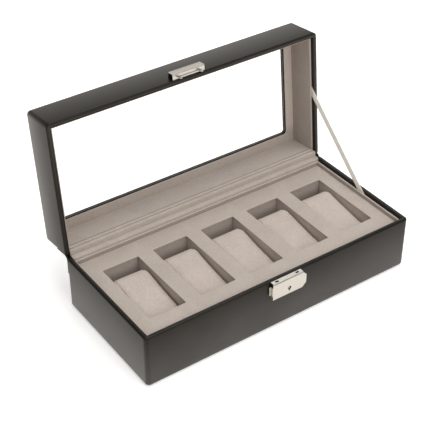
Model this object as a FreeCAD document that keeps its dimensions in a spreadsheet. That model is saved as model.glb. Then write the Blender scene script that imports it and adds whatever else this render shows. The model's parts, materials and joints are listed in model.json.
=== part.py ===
# Watch box with five cushions, a glass window in its lid, a ribbon stay and a small lock.
# Millimetres. The origin is the middle of the underside, +X runs to the right along the box,
# the front is at -Y and +Z is up. The lid is modelled closed, about its own hinge line, and
# every piece of it is then turned open by the same angle.
import FreeCAD
import Part
import Sketcher
import math
import os
import re

doc = FreeCAD.newDocument("WatchBox")

# Driving dimensions: name, value, what it is.
dimensions = [
    ("length", 310.0, "outside length of base and lid"),
    ("depth", 141.0, "outside depth, front to rear"),
    ("base_height", 58.5, "underside to base rim"),
    ("lid_height", 40.5, "lid rim to lid top"),
    ("lid_open", 96.0, "angle at which the ribbon stops the lid"),
    ("rim_gap", 0.8, "gap between the rims when closed"),
    ("leather", 0.7, "thickness of the leather cover"),
    ("board", 3.6, "thickness of the wall boards"),
    ("corner_radius", 4.2, "upright corners, outside"),
    ("foot_radius", 3.4, "lower edges of the base, outside"),
    ("lid_edge_radius", 3.8, "upper edges of the lid, outside"),
    ("rim_edge", 0.6, "edges of the rims"),
    ("rim_turn", 14.0, "leather turned down inside the rim"),
    ("foot_turn", 12.0, "leather turned in under the floor"),
    ("foot_proud", 0.4, "underside pad below the leather"),
    ("floor_board", 4.0, "thickness of the floor"),
    ("floor_card", 1.2, "thickness of the floor lining"),
    ("lining", 2.0, "thickness of the lining boards"),
    ("lining_drop", 3.0, "lining edge below the rim"),
    ("tray_drop", 7.0, "tray face below the rim"),
    ("tray_board", 1.6, "thickness of the tray board"),
    ("cell_border", 22.0, "tray in front of and behind the openings"),
    ("cell_end", 15.8, "tray beside the outermost openings"),
    ("cell_bridge", 17.0, "tray between two openings"),
    ("cell_lip", 0.8, "tray board past the blocks under it"),
    ("cushion_gap", 0.5, "cushion to opening, front and sides"),
    ("finger_gap", 8.5, "cushion to opening, rear"),
    ("cushion_dip", 12.0, "tray face down to the cushion's front, before its nose"),
    ("cushion_sink", 1.0, "tray face down to the cushion's rear, before its roll"),
    ("cushion_roll", 12.0, "radius of the roll at the rear"),
    ("cushion_nose", 5.0, "radius of the front upper edge"),
    ("cushion_crown", 1.4, "rise of the top from its sides to its middle"),
    ("cushion_draw", 0.9, "ends drawn in at the sides"),
    ("cushion_edge", 3.4, "radius of the side seams"),
    ("frame_board", 4.5, "thickness of the lid's top frame"),
    ("roof_card", 1.3, "thickness of the lid's top lining"),
    ("window_end", 17.5, "lid top beside the window"),
    ("window_border", 18.5, "lid top in front of and behind the window"),
    ("window_corner", 3.0, "corners of the window"),
    ("glass", 2.5, "thickness of the pane"),
    ("glass_ledge", 5.0, "pane past the window's edge"),
    ("glass_gap", 0.3, "pane to its rebate"),
    ("hinge_lap", 18.0, "hinge leather on each rear wall"),
    ("fold_radius", 0.6, "fold of the hinge cloth"),
    ("spine_radius", 0.5, "fold of the hinge leather"),
    ("stay_width", 6.0, "width of the ribbon"),
    ("stay_thickness", 0.4, "thickness of the ribbon"),
    ("stay_gap", 0.1, "ribbon to the leather beside it"),
    ("stay_reach", 75.5, "hinge line to the ribbon's ends"),
    ("steel", 0.8, "sheet of the lock and hasp"),
    ("bend_radius", 1.0, "outer bends of the sheet"),
    ("lock_width", 35.2, "lock cover, along the box"),
    ("lock_height", 19.2, "lock cover, top to bottom"),
    ("lock_depth", 4.5, "lock cover in front of the leather"),
    ("ear_length", 4.2, "ear past the cover's right edge"),
    ("ear_taper", 4.4, "slope at the ear's top and bottom"),
    ("cover_bend", 0.5, "bend at the top of the cover"),
    ("seam_gap", 0.8, "seam under the cover's top"),
    ("seam_depth", 0.45, "depth of that seam"),
    ("tab_height", 10.0, "side tab of the cover"),
    ("tab_width", 1.6, "side tab, out from the cover"),
    ("tab_setback", 2.9, "side tab behind the cover's face"),
    ("keyhole_offset", 1.8, "keyhole right of the lock's middle"),
    ("keyhole_rise", 6.8, "keyhole above the cover's lower edge"),
    ("keyhole_radius", 1.9, "round of the keyhole"),
    ("keyhole_slot", 1.4, "slot of the keyhole"),
    ("keyhole_drop", 3.4, "end of the slot below the round's centre"),
    ("post_radius", 0.8, "post for the hollow key"),
    ("post_recess", 0.6, "post behind the cover's face"),
    ("rivet_radius", 1.0, "rivet shank"),
    ("rivet_head", 1.7, "rivet head radius"),
    ("rivet_head_height", 0.7, "rivet head"),
    ("rivet_spacing", 26.0, "rivet to rivet"),
    ("rivet_rise", 3.0, "rivets above the cover's lower edge"),
    ("rivet_bite", 2.6, "rivets into the wall board"),
    ("hasp_width", 36.6, "hasp, along the box"),
    ("hasp_height", 8.6, "hasp, up the lid's front"),
    ("hasp_depth", 6.0, "hasp in front of the leather"),
    ("hasp_rise", 1.7, "hasp above the lid rim"),
    ("prong_spacing", 23.8, "prong to prong, and slot to slot"),
    ("prong_reach", 2.2, "prongs in front of the leather"),
    ("prong_width", 2.8, "prong, along the box"),
    ("prong_thickness", 0.7, "prong sheet"),
    ("prong_length", 5.2, "prong below the hasp"),
    ("prong_gap", 0.35, "prong to slot, at its ends"),
    ("slot_gap", 0.65, "prong to slot, at its sides"),
    ("notch_depth", 1.6, "notch in the prong's left edge"),
    ("notch_height", 1.2, "height of that notch"),
    ("notch_rise", 0.7, "notch above the prong's tip"),
    ("tang_spacing", 18.0, "tang to tang"),
    ("tang_width", 3.0, "tang, along the box"),
    ("tang_bite", 2.6, "tangs into the wall board"),
    ("bolt_height", 4.2, "bar of the bolt"),
    ("bolt_thickness", 1.0, "bolt plate"),
    ("bolt_clearance", 0.2, "bolt bar above the keyhole's round"),
    ("hook_gap", 0.3, "hook to prong with the bolt drawn back"),
    ("hook_length", 1.8, "hook finger"),
    ("hook_height", 0.8, "hook finger, top to bottom"),
    ("hook_arm", 1.6, "upright arm of the hook"),
    ("talon_width", 2.4, "notch that the key turns in"),
    ("talon_depth", 1.5, "depth of that notch"),
    ("shelf_length", 6.0, "shelf that the bolt slides on"),
    ("shelf_height", 0.9, "shelf thickness"),
    ("spring_sheet", 0.5, "leaf of the spring"),
    ("spring_width", 1.4, "leaf, front to rear"),
    ("spring_foot", 1.8, "flat foot at each end"),
    ("spring_belly", 2.4, "flat belly over the bolt"),
    ("spring_span", 11.2, "between the feet"),
    ("spring_shift", 2.6, "spring left of the lock's middle"),
    ("spring_gap", 0.1, "belly to bolt"),
]

sheet = doc.addObject("Spreadsheet::Sheet", "Sizes")
for row, (name, number, note) in enumerate(dimensions, start=1):
    sheet.set(f"A{row}", name)
    sheet.set(f"B{row}", str(number))
    sheet.setAlias(f"B{row}", name)
    sheet.set(f"C{row}", note)
doc.recompute()
names = {name for name, number, note in dimensions}


# A formula in the sheet's own names, as FreeCAD reads it.
def formula(text):
    return re.sub(r"[a-z_]+", lambda found: f"Sizes.{found[0]}" if found[0] in names else found[0], str(text))


def bind(thing, prop, text):
    thing.setExpression(prop, formula(text))


def number_of(text):
    return float(sheet.evalExpression(formula(text)))


# Shared levels of the base, from the underside up.
floor_z = "(foot_proud + leather)"
floor_top = f"({floor_z} + floor_board)"
cell_floor = f"({floor_top} + floor_card)"
board_top = "(base_height - leather)"
lining_top = "(base_height - lining_drop)"
tray_top_z = "(base_height - tray_drop)"
tray_under = f"({tray_top_z} - tray_board)"
cushion_front_z = f"({tray_top_z} - cushion_dip)"
cushion_rear_z = f"({tray_top_z} - cushion_sink)"

# Shared distances from the middle: wall boards, rim and lining faces.
rim_width = "(2 * leather + board)"
wall_out_x = "(length / 2 - leather)"
wall_out_y = "(depth / 2 - leather)"
wall_in_x = "(length / 2 - leather - board)"
wall_in_y = "(depth / 2 - leather - board)"
rim_in_x = f"(length / 2 - {rim_width})"
rim_in_y = f"(depth / 2 - {rim_width})"
face_x = f"({rim_in_x} - lining)"
face_y = f"({rim_in_y} - lining)"

# Openings of the tray share what its borders leave.
cells = 5
cell_length = f"(2 * {face_y} - 2 * cell_border)"
cell_width = f"((2 * {face_x} - 2 * cell_end - {cells - 1} * cell_bridge) / {cells})"
cell_pitch = f"({cell_width} + cell_bridge)"

# Rounded edges of the boards under the leather.
corner_in = "(corner_radius - leather)"
foot_in = "(foot_radius - leather)"
lid_edge_in = "(lid_edge_radius - leather)"

# The lid's own frame: its origin is the hinge line, its rear face is at y = 0.
hinge_place = ("placement(vector(0; depth / 2; base_height + rim_gap / 2); "
               "rotation(vector(-1; 0; 0); lid_open))")
lid_rim = "(rim_gap / 2)"
lid_board_z = f"({lid_rim} + leather)"
lid_lining_z = f"({lid_rim} + lining_drop)"
lid_top = f"({lid_rim} + lid_height)"
frame_top = f"({lid_top} - leather)"
frame_z = f"({frame_top} - frame_board)"
roof_z = f"({frame_z} - roof_card)"
ledge_z = f"({frame_top} - glass)"
window_x = "(length / 2 - window_end)"
window_front = "(window_border - depth)"
window_rear = "(-window_border)"

nodes = []


def new_body(label, in_lid=False):
    body = doc.addObject("PartDesign::Body", label)
    body.Label = label
    if in_lid:
        bind(body, "Placement", hinge_place)
    nodes.append(body)
    return body


def block(body, name, corner, size, kind="Additive"):
    box = body.newObject(f"PartDesign::{kind}Box", name)
    for prop, text in zip(("Length", "Width", "Height"), size):
        bind(box, prop, text)
    for axis, text in zip("xyz", corner):
        bind(box, f"Placement.Base.{axis}", text)
    doc.recompute()
    return box


# A round bar along Y, from a point towards +Y.
def bar_along_y(body, name, start, radius, reach, kind="Additive"):
    bar = body.newObject(f"PartDesign::{kind}Cylinder", name)
    bind(bar, "Radius", radius)
    bind(bar, "Height", reach)
    x, y, z = start
    bind(bar, "Placement", f"placement(vector({x}; {y}; {z}); rotation(vector(-1; 0; 0); 90))")
    doc.recompute()
    return bar


def board_piece(label, corner, size, in_lid=False):
    body = new_body(label, in_lid)
    block(body, f"{label}_block", corner, size)
    return body


# A box that is centred on x = 0, given by its half length.
def centred_board(label, half, y, z, width, height, in_lid=False):
    return board_piece(label, (f"-{half}", y, z), (f"2 * {half}", width, height), in_lid)


# The edges of a feature that lie wholly at the given places.
def edges_at(feature, **places):
    wanted = {axis.upper(): number_of(text) for axis, text in places.items()}
    picked = []
    for index, edge in enumerate(feature.Shape.Edges, start=1):
        box = edge.BoundBox
        if all(abs(getattr(box, f"{axis}Min") - at) < 1e-4 and abs(getattr(box, f"{axis}Max") - at) < 1e-4
               for axis, at in wanted.items()):
            picked.append(f"Edge{index}")
    return picked


def round_edges(body, name, edges, radius):
    sharp = body.Tip
    rounding = body.newObject("PartDesign::Fillet", name)
    rounding.Base = (sharp, edges)
    bind(rounding, "Radius", radius)
    doc.recompute()
    if "Invalid" in rounding.State or not edges:
        raise ValueError(f"{name} failed on {edges}")
    return rounding


# A closed outline of straight sides, listed anticlockwise. A corner is (x, y) or (x, y, radius):
# a rounded corner's arc is tangent to both sides, which still meet at the given point.
def outline(body, name, role, offset, corners):
    sketch = body.newObject("Sketcher::SketchObject", name)
    plane = next(item for item in body.Origin.OriginFeatures if item.Role == role)
    sketch.AttachmentSupport = [(plane, "")]
    sketch.MapMode = "FlatFace"
    bind(sketch, "AttachmentOffset.Base.z", offset)
    points = [FreeCAD.Vector(number_of(corner[0]), number_of(corner[1]), 0) for corner in corners]
    count = len(corners)
    starts = list(points)
    ends = list(points)
    for index, corner in enumerate(corners):
        if len(corner) == 3:
            back = (points[index - 1] - points[index]).normalize()
            ahead = (points[(index + 1) % count] - points[index]).normalize()
            reach = number_of(corner[2]) / math.tan(back.getAngle(ahead) / 2)
            ends[index] = points[index] + back * reach
            starts[index] = points[index] + ahead * reach
    for index in range(count):
        sketch.addGeometry(Part.LineSegment(starts[index], ends[(index + 1) % count]), False)
    for index, corner in enumerate(corners):
        before = (index - 1) % count
        if len(corner) == 2:
            sketch.addConstraint(Sketcher.Constraint("Coincident", before, 2, index, 1))
            pin(sketch, index, points[index], corner, index)
        else:
            round_corner(sketch, before, index, ends[index], points[index], starts[index], corner)
    doc.recompute()
    return sketch


# Holds one point of a sketch at its two distances from the sketch's origin.
def pin(sketch, geometry, point, corner, index):
    for kind, number, text in (("DistanceX", point.x, corner[0]), ("DistanceY", point.y, corner[1])):
        place = sketch.addConstraint(Sketcher.Constraint(kind, -1, 1, geometry, 1, number))
        sketch.renameConstraint(place, f"{kind}_{index}")
        bind(sketch, f"Constraints.{kind}_{index}", text)


def round_corner(sketch, before, after, enter, point, leave, corner):
    radius = number_of(corner[2])
    inward = (enter + leave - point * 2).normalize()
    half = (enter - point).getAngle(leave - point) / 2
    middle = point + inward * (radius / math.sin(half) - radius)
    arc = sketch.addGeometry(Part.Arc(enter, middle, leave), False)
    sketch.addConstraint(Sketcher.Constraint("Tangent", before, 2, arc, 1))
    sketch.addConstraint(Sketcher.Constraint("Tangent", arc, 2, after, 1))
    rule = sketch.addConstraint(Sketcher.Constraint("Radius", arc, radius))
    sketch.renameConstraint(rule, f"Radius_{after}")
    bind(sketch, f"Constraints.Radius_{after}", corner[2])
    meet = sketch.addGeometry(Part.Point(point), True)
    sketch.addConstraint(Sketcher.Constraint("PointOnObject", meet, 1, before))
    sketch.addConstraint(Sketcher.Constraint("PointOnObject", meet, 1, after))
    pin(sketch, meet, point, corner, after)


def pad(body, name, sketch, reach):
    feature = body.newObject("PartDesign::Pad", name)
    feature.Profile = sketch
    bind(feature, "Length", reach)
    doc.recompute()
    return feature


# A pocket along the sketch's normal when forward is set, and against it otherwise.
def pocket(body, name, sketch, reach, forward=False):
    before = body.Shape.Volume
    feature = body.newObject("PartDesign::Pocket", name)
    feature.Profile = sketch
    feature.Reversed = forward
    bind(feature, "Length", reach)
    doc.recompute()
    if body.Shape.Volume >= before:
        raise ValueError(f"{name} cut nothing")
    return feature


# Leaves a skin of leather, open at the flat face that lies at the given height.
def hollow(body, name, height):
    block_feature = body.Tip
    level = number_of(height)
    faces = [f"Face{index}" for index, face in enumerate(block_feature.Shape.Faces, start=1)
             if abs(face.BoundBox.ZMin - level) < 1e-4 and abs(face.BoundBox.ZMax - level) < 1e-4]
    skin = body.newObject("PartDesign::Thickness", name)
    skin.Base = (block_feature, faces)
    skin.Reversed = True
    bind(skin, "Value", "leather")
    doc.recompute()
    return skin


# The long edges of a rim, outside and inside, but for those at the hinge.
def rim_edges(body, height, rear):
    level = number_of(height)
    limit = number_of(rear)
    picked = []
    for index, edge in enumerate(body.Tip.Shape.Edges, start=1):
        box = edge.BoundBox
        flat = abs(box.ZMin - level) < 1e-4 and abs(box.ZMax - level) < 1e-4
        if flat and box.YMin < limit - 1e-4:
            picked.append(f"Edge{index}")
    return picked


def rounded_plan(half_x, front, rear, radius):
    return [(f"-{half_x}", front, radius), (half_x, front, radius), (half_x, rear, radius), (f"-{half_x}", rear, radius)]


def plan(half_x, front, rear):
    return [(f"-{half_x}", front), (half_x, front), (half_x, rear), (f"-{half_x}", rear)]


# A long wall board: its two outer upright edges follow the leather's corners.
def long_wall(label, outer_y, inner_y, low, high, in_lid=False):
    near = min(outer_y, inner_y, key=number_of)
    body = centred_board(label, wall_out_x, near, low, "board", f"{high} - {low}", in_lid)
    upright = edges_at(body.Tip, x=f"-{wall_out_x}", y=outer_y) + edges_at(body.Tip, x=wall_out_x, y=outer_y)
    round_edges(body, f"{label}_corners", upright, corner_in)
    return body


# Base carcass.
base_wall_height = f"({board_top} - {floor_z})"
base_front_wall = long_wall("base_front_wall", f"-{wall_out_y}", f"-{wall_in_y}", floor_z, board_top)
round_edges(base_front_wall, "front_foot", edges_at(base_front_wall.Tip, y=f"-{wall_out_y}", z=floor_z), foot_in)
base_rear_wall = long_wall("base_rear_wall", wall_out_y, wall_in_y, floor_z, board_top)
round_edges(base_rear_wall, "rear_foot", edges_at(base_rear_wall.Tip, y=wall_out_y, z=floor_z), foot_in)
for side, out_x, corner_x in (("left", f"-{wall_out_x}", f"-{wall_out_x}"), ("right", wall_out_x, wall_in_x)):
    wall = board_piece(f"base_{side}_wall", (corner_x, f"-{wall_in_y}", floor_z),
                       ("board", f"2 * {wall_in_y}", base_wall_height))
    round_edges(wall, f"{side}_foot", edges_at(wall.Tip, x=out_x, z=floor_z), foot_in)
centred_board("base_floor", wall_in_x, f"-{wall_in_y}", floor_z, f"2 * {wall_in_y}", "floor_board")

# Leather of the base: a skin round the walls, turned over three rims and in under the floor.
pad_x = "(length / 2 - foot_turn)"
pad_y = "(depth / 2 - foot_turn)"
base_leather = new_body("base_leather")
outer = outline(base_leather, "base_outside", "XY_Plane", "foot_proud",
                rounded_plan("(length / 2)", "-depth / 2", "depth / 2", "corner_radius"))
pad(base_leather, "base_block", outer, "base_height - foot_proud")
round_edges(base_leather, "base_foot", edges_at(base_leather.Tip, z="foot_proud"), "foot_radius")
hollow(base_leather, "base_skin", "base_height")
cover = outline(base_leather, "base_rim", "XY_Plane", board_top,
                rounded_plan("(length / 2)", "-depth / 2", "depth / 2", "corner_radius"))
pad(base_leather, "base_rim_sheet", cover, "leather")
mouth = outline(base_leather, "base_mouth", "XY_Plane", "base_height", plan(rim_in_x, f"-{rim_in_y}", "depth / 2"))
pocket(base_leather, "base_rim_opening", mouth, "leather")
under = outline(base_leather, "base_under", "XY_Plane", "foot_proud", plan(pad_x, f"-{pad_y}", pad_y))
pocket(base_leather, "base_under_opening", under, "leather", forward=True)
turn_z = "(base_height - rim_turn)"
turn_height = "(rim_turn - leather)"
block(base_leather, "base_front_turn", (f"-{wall_in_x}", f"-{wall_in_y}", turn_z),
      (f"2 * {wall_in_x}", "leather", turn_height))
for side, corner_x in (("left", f"-{wall_in_x}"), ("right", rim_in_x)):
    block(base_leather, f"base_{side}_turn", (corner_x, f"-{rim_in_y}", turn_z),
          ("leather", f"{rim_in_y} + {wall_in_y}", turn_height))
centred_board("base_underside", pad_x, f"-{pad_y}", "0", f"2 * {pad_y}", floor_z)

round_edges(base_leather, "base_rim_edges", rim_edges(base_leather, "base_height", "depth / 2 - corner_radius"), "min(rim_edge; 0.9 * leather)")

# Lining of the base.
centred_board("base_floor_lining", face_x, f"-{face_y}", floor_top, f"2 * {face_y}", "floor_card")
lining_height = f"({lining_top} - {floor_top})"
centred_board("base_front_lining", rim_in_x, f"-{rim_in_y}", floor_top, "lining", lining_height)
centred_board("base_rear_lining", rim_in_x, face_y, floor_top, "lining", lining_height)
for side, corner_x in (("left", f"-{rim_in_x}"), ("right", face_x)):
    board_piece(f"base_{side}_lining", (corner_x, f"-{face_y}", floor_top), ("lining", f"2 * {face_y}", lining_height))

# Tray: a board with five openings, on two rails and six blocks.
tray_top = centred_board("tray_top", face_x, f"-{face_y}", tray_under, f"2 * {face_y}", "tray_board")
opening = block(tray_top, "cell_opening",
                (f"-{(cells - 1) / 2} * {cell_pitch} - {cell_width} / 2", f"-{cell_length} / 2", tray_under),
                (cell_width, cell_length, "tray_board"), "Subtractive")
row = tray_top.newObject("PartDesign::LinearPattern", "cell_row")
row.Originals = [opening]
row.Direction = (next(item for item in tray_top.Origin.OriginFeatures if item.Role == "X_Axis"), [""])
row.Occurrences = cells
bind(row, "Length", f"{cells - 1} * {cell_pitch}")
tray_top.Tip = row
doc.recompute()
well_y = f"({cell_length} / 2 + cell_lip)"
well_height = f"({tray_under} - {cell_floor})"
rail_width = f"({face_y} - {well_y})"
centred_board("tray_front_rail", face_x, f"-{face_y}", cell_floor, rail_width, well_height)
centred_board("tray_rear_rail", face_x, well_y, cell_floor, rail_width, well_height)
well_x = f"({cell_width} / 2 + cell_lip)"
for index in range(cells + 1):
    left = f"({index - (cells + 1) / 2} * {cell_pitch} + {well_x})" if index else f"(-{face_x})"
    right = f"({index - (cells - 1) / 2} * {cell_pitch} - {well_x})" if index < cells else face_x
    board_piece(f"tray_block_{index + 1}", (left, f"-{well_y}", cell_floor),
                (f"{right} - {left}", f"2 * {well_y}", well_height))


# A cushion's section across the box: level foot, rolled rear, top that slopes to the front.
def cushion_section(body, name, offset, lower, inset):
    front = f"(-{cell_length} / 2 + cushion_gap + {inset})"
    rear = f"({cell_length} / 2 - finger_gap - {inset})"
    return outline(body, name, "YZ_Plane", offset, [
        (front, cell_floor),
        (rear, cell_floor),
        (rear, f"{cushion_rear_z} - {lower}", "cushion_roll"),
        (front, f"{cushion_front_z} - {lower}", "cushion_nose"),
    ])


# Cushions: each swells from its sides to its middle, and its side seams are rounded. A section
# is given by its distance from the side, in seam radii, and by its share of the seam's drop.
cushion_half = f"({cell_width} / 2 - cushion_gap)"
seam_steps = [(0.0, 1.0), (0.1, 0.564), (0.35, 0.24), (1.0, 0.0), (3.0, 0.0)]
for index in range(cells):
    cushion = new_body(f"watch_cushion_{index + 1}")
    bind(cushion, "Placement.Base.x", f"{index - (cells - 1) / 2} * {cell_pitch}")
    sections = []
    for side in (-1, 1):
        for step, drop in seam_steps[::-side]:
            reach = f"({cushion_half} - {step} * cushion_edge)"
            swell = f"({reach} / {cushion_half})"
            sections.append(cushion_section(
                cushion, f"cushion_{index + 1}_section_{len(sections)}", f"{side} * {reach}",
                f"(cushion_crown * {swell} * {swell} + {drop} * cushion_edge)",
                f"(cushion_draw * {swell} * {swell} + {drop} * cushion_edge)"))
        if side < 0:
            sections.append(cushion_section(cushion, f"cushion_{index + 1}_middle", "0", "0", "0"))
    puff = cushion.newObject("PartDesign::AdditiveLoft", f"cushion_{index + 1}_puff")
    puff.Profile = sections[0]
    puff.Sections = sections[1:]
    doc.recompute()

# Lid carcass.
lid_front = "(-depth + leather)"
lid_front_in = "(-depth + leather + board)"
lid_rear = "(-leather)"
lid_rear_in = "(-leather - board)"
lid_rim_y = f"(-depth + {rim_width})"
lid_face_front = f"({lid_rim_y} + lining)"
lid_face_rear = f"(-{rim_width} - lining)"
lid_wall_height = f"({frame_z} - {lid_board_z})"
lid_front_wall = long_wall("lid_front_wall", lid_front, lid_front_in, lid_board_z, frame_z, True)
long_wall("lid_rear_wall", lid_rear, lid_rear_in, lid_board_z, frame_z, True)
for side, corner_x in (("left", f"-{wall_out_x}"), ("right", wall_in_x)):
    board_piece(f"lid_{side}_wall", (corner_x, lid_front_in, lid_board_z),
                ("board", f"{lid_rear_in} - {lid_front_in}", lid_wall_height), True)

# Top frame of the lid, with the window and the rebate that the pane lies in.
trim_x = f"({window_x} + leather)"
trim_front = f"({window_front} - leather)"
trim_rear = f"({window_rear} + leather)"
trim_corner = "(window_corner + leather)"
rebate_x = f"({window_x} + glass_ledge)"
rebate_front = f"({window_front} - glass_ledge)"
rebate_rear = f"({window_rear} + glass_ledge)"
lid_top_frame = new_body("lid_top_frame", True)
face = outline(lid_top_frame, "frame_outside", "XY_Plane", frame_z,
               rounded_plan(wall_out_x, lid_front, lid_rear, corner_in))
pad(lid_top_frame, "frame_block", face, "frame_board")
round_edges(lid_top_frame, "frame_edge", edges_at(lid_top_frame.Tip, z=frame_top), lid_edge_in)
hole = outline(lid_top_frame, "frame_window", "XY_Plane", frame_top,
               rounded_plan(trim_x, trim_front, trim_rear, trim_corner))
pocket(lid_top_frame, "frame_opening", hole, "frame_board")
step = outline(lid_top_frame, "frame_rebate", "XY_Plane", frame_top, plan(rebate_x, rebate_front, rebate_rear))
pocket(lid_top_frame, "frame_ledge", step, "glass")
pane_x = f"({rebate_x} - glass_gap)"
pane_front = f"({rebate_front} + glass_gap)"
pane_rear = f"({rebate_rear} - glass_gap)"
centred_board("glass_pane", pane_x, pane_front, ledge_z, f"{pane_rear} - {pane_front}", "glass", True)
window_trim = new_body("window_trim", True)
band = outline(window_trim, "trim_outside", "XY_Plane", roof_z,
               rounded_plan(trim_x, trim_front, trim_rear, trim_corner))
pad(window_trim, "trim_block", band, f"{ledge_z} - {roof_z}")
hole = outline(window_trim, "trim_inside", "XY_Plane", roof_z,
               rounded_plan(window_x, window_front, window_rear, "window_corner"))
pocket(window_trim, "trim_opening", hole, f"{ledge_z} - {roof_z}", forward=True)

# Leather of the lid: sides, top with the window, and three rims turned in.
lid_leather = new_body("lid_leather", True)
outer = outline(lid_leather, "lid_outside", "XY_Plane", lid_rim,
                rounded_plan("(length / 2)", "-depth", "0", "corner_radius"))
pad(lid_leather, "lid_block", outer, "lid_height")
round_edges(lid_leather, "lid_edge", edges_at(lid_leather.Tip, z=lid_top), "lid_edge_radius")
hollow(lid_leather, "lid_skin", lid_rim)
cover = outline(lid_leather, "lid_rim_plan", "XY_Plane", lid_rim,
                rounded_plan("(length / 2)", "-depth", "0", "corner_radius"))
pad(lid_leather, "lid_rim_sheet", cover, "leather")
mouth = outline(lid_leather, "lid_mouth", "XY_Plane", lid_rim, plan(rim_in_x, lid_rim_y, "0"))
pocket(lid_leather, "lid_rim_opening", mouth, "leather", forward=True)
hole = outline(lid_leather, "lid_window", "XY_Plane", lid_top,
               rounded_plan(window_x, window_front, window_rear, "window_corner"))
pocket(lid_leather, "lid_window_opening", hole, "leather")
block(lid_leather, "lid_front_turn", (f"-{wall_in_x}", lid_front_in, lid_board_z),
      (f"2 * {wall_in_x}", "leather", turn_height))
for side, corner_x in (("left", f"-{wall_in_x}"), ("right", rim_in_x)):
    block(lid_leather, f"lid_{side}_turn", (corner_x, lid_rim_y, lid_board_z),
          ("leather", f"{lid_rear_in} - {lid_rim_y}", turn_height))

round_edges(lid_leather, "lid_rim_edges", rim_edges(lid_leather, lid_rim, "-corner_radius"), "min(rim_edge; 0.9 * leather)")

# Lining of the lid.
lid_lining_height = f"({frame_z} - {lid_lining_z})"
centred_board("lid_front_lining", rim_in_x, lid_rim_y, lid_lining_z, "lining", lid_lining_height, True)
centred_board("lid_rear_lining", rim_in_x, lid_face_rear, lid_lining_z, "lining", lid_lining_height, True)
for side, corner_x in (("left", f"-{rim_in_x}"), ("right", face_x)):
    board_piece(f"lid_{side}_lining", (corner_x, lid_face_front, lid_lining_z),
                ("lining", f"{lid_face_rear} - {lid_face_front}", lid_lining_height), True)
lid_top_lining = centred_board("lid_top_lining", face_x, lid_face_front, roof_z,
                               f"{lid_face_rear} - {lid_face_front}", "roof_card", True)
hole = outline(lid_top_lining, "lining_window", "XY_Plane", roof_z,
               rounded_plan(trim_x, trim_front, trim_rear, trim_corner))
pocket(lid_top_lining, "lining_opening", hole, "roof_card", forward=True)


# A flap of a hinge strip that lies on the lid, at its place in the open lid.
def lid_flap(body, name, y, z, width, height):
    flap = body.newObject("PartDesign::AdditiveBox", name)
    bind(flap, "Length", f"2 * {rim_in_x}")
    bind(flap, "Width", width)
    bind(flap, "Height", height)
    bind(flap, "Placement", f"{hinge_place} * placement(vector(-{rim_in_x}; {y}; {z}); rotation(vector(1; 0; 0); 0))")
    doc.recompute()


# The fold between a strip's two flaps, a thin roll along the hinge line.
def fold(body, name, y, z, radius):
    roll = body.newObject("PartDesign::AdditiveCylinder", name)
    bind(roll, "Radius", radius)
    bind(roll, "Height", f"2 * {rim_in_x}")
    bind(roll, "Placement", f"placement(vector(-{rim_in_x}; {y}; {z}); rotation(vector(0; 1; 0); 90))")
    doc.recompute()


# Hinge cloth over both rear rims and down behind both rear linings, and hinge leather over the
# seam behind them.
hinge_cloth = centred_board("hinge_cloth", rim_in_x, rim_in_y, board_top, rim_width, "leather")
block(hinge_cloth, "cloth_turn", (f"-{rim_in_x}", rim_in_y, turn_z), (f"2 * {rim_in_x}", "leather", turn_height))
lid_flap(hinge_cloth, "cloth_on_lid", f"(-{rim_width})", lid_rim, rim_width, "leather")
lid_flap(hinge_cloth, "cloth_turn_in_lid", f"(-{rim_width})", lid_board_z, "leather", turn_height)
fold(hinge_cloth, "cloth_fold", "depth / 2", "(base_height + rim_gap / 2)", "fold_radius")
hinge_leather = centred_board("hinge_leather", rim_in_x, "depth / 2", "(base_height - hinge_lap)", "leather",
                              "hinge_lap - leather")
lid_flap(hinge_leather, "leather_on_lid", "0", lid_board_z, "leather", "hinge_lap - leather")
fold(hinge_leather, "leather_fold", "(depth / 2 + leather / 2 + spine_radius)", "(base_height - spine_radius)",
     "spine_radius")

# Ribbon stay: taut between the edges of the two right-hand linings.
stay_cross = "(stay_width / cos(lid_open / 2) / 2)"


def on_open_lid(y, z):
    across = f"(depth / 2 + ({y}) * cos(lid_open) + {z} * sin(lid_open))"
    upward = f"(base_height + rim_gap / 2 - ({y}) * sin(lid_open) + {z} * cos(lid_open))"
    return across, upward


stay_ribbon = new_body("stay_ribbon")
strip = outline(stay_ribbon, "stay_side", "YZ_Plane", f"{rim_in_x} - stay_gap - stay_thickness", [
    (f"(depth / 2 - stay_reach - {stay_cross})", lining_top),
    (f"(depth / 2 - stay_reach + {stay_cross})", lining_top),
    on_open_lid(f"-stay_reach + {stay_cross}", lid_lining_z),
    on_open_lid(f"-stay_reach - {stay_cross}", lid_lining_z),
])
pad(stay_ribbon, "stay_strip", strip, "stay_thickness")

# Lock on the front of the base. Its cover is one bent sheet: top, front, ear and side tab.
front_y = "(-depth / 2)"
lock_half = "(lock_width / 2)"
lock_low = "(base_height - lock_height)"
cover_front = "(-depth / 2 - lock_depth)"
slot_y = "(-depth / 2 - prong_reach)"
key_z = f"({lock_low} + keyhole_rise)"
lock_cover = new_body("lock_cover")
bent = outline(lock_cover, "cover_side", "YZ_Plane", f"-{lock_half}", [
    (cover_front, lock_low),
    (f"{cover_front} + steel", lock_low),
    (f"{cover_front} + steel", "base_height - steel"),
    (front_y, "base_height - steel"),
    (front_y, "base_height"),
    (cover_front, "base_height", "cover_bend"),
])
pad(lock_cover, "cover_sheet", bent, "lock_width")
ear = outline(lock_cover, "cover_ear", "XZ_Plane", f"-({cover_front} + steel)", [
    (lock_half, lock_low),
    (f"{lock_half} + ear_length", f"{lock_low} + ear_taper"),
    (f"{lock_half} + ear_length", "base_height - bend_radius - ear_taper"),
    (lock_half, "base_height - bend_radius"),
])
pad(lock_cover, "cover_ear_sheet", ear, "steel")
tab_low = f"({lock_low} + lock_height / 2 - tab_height / 2)"
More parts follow.
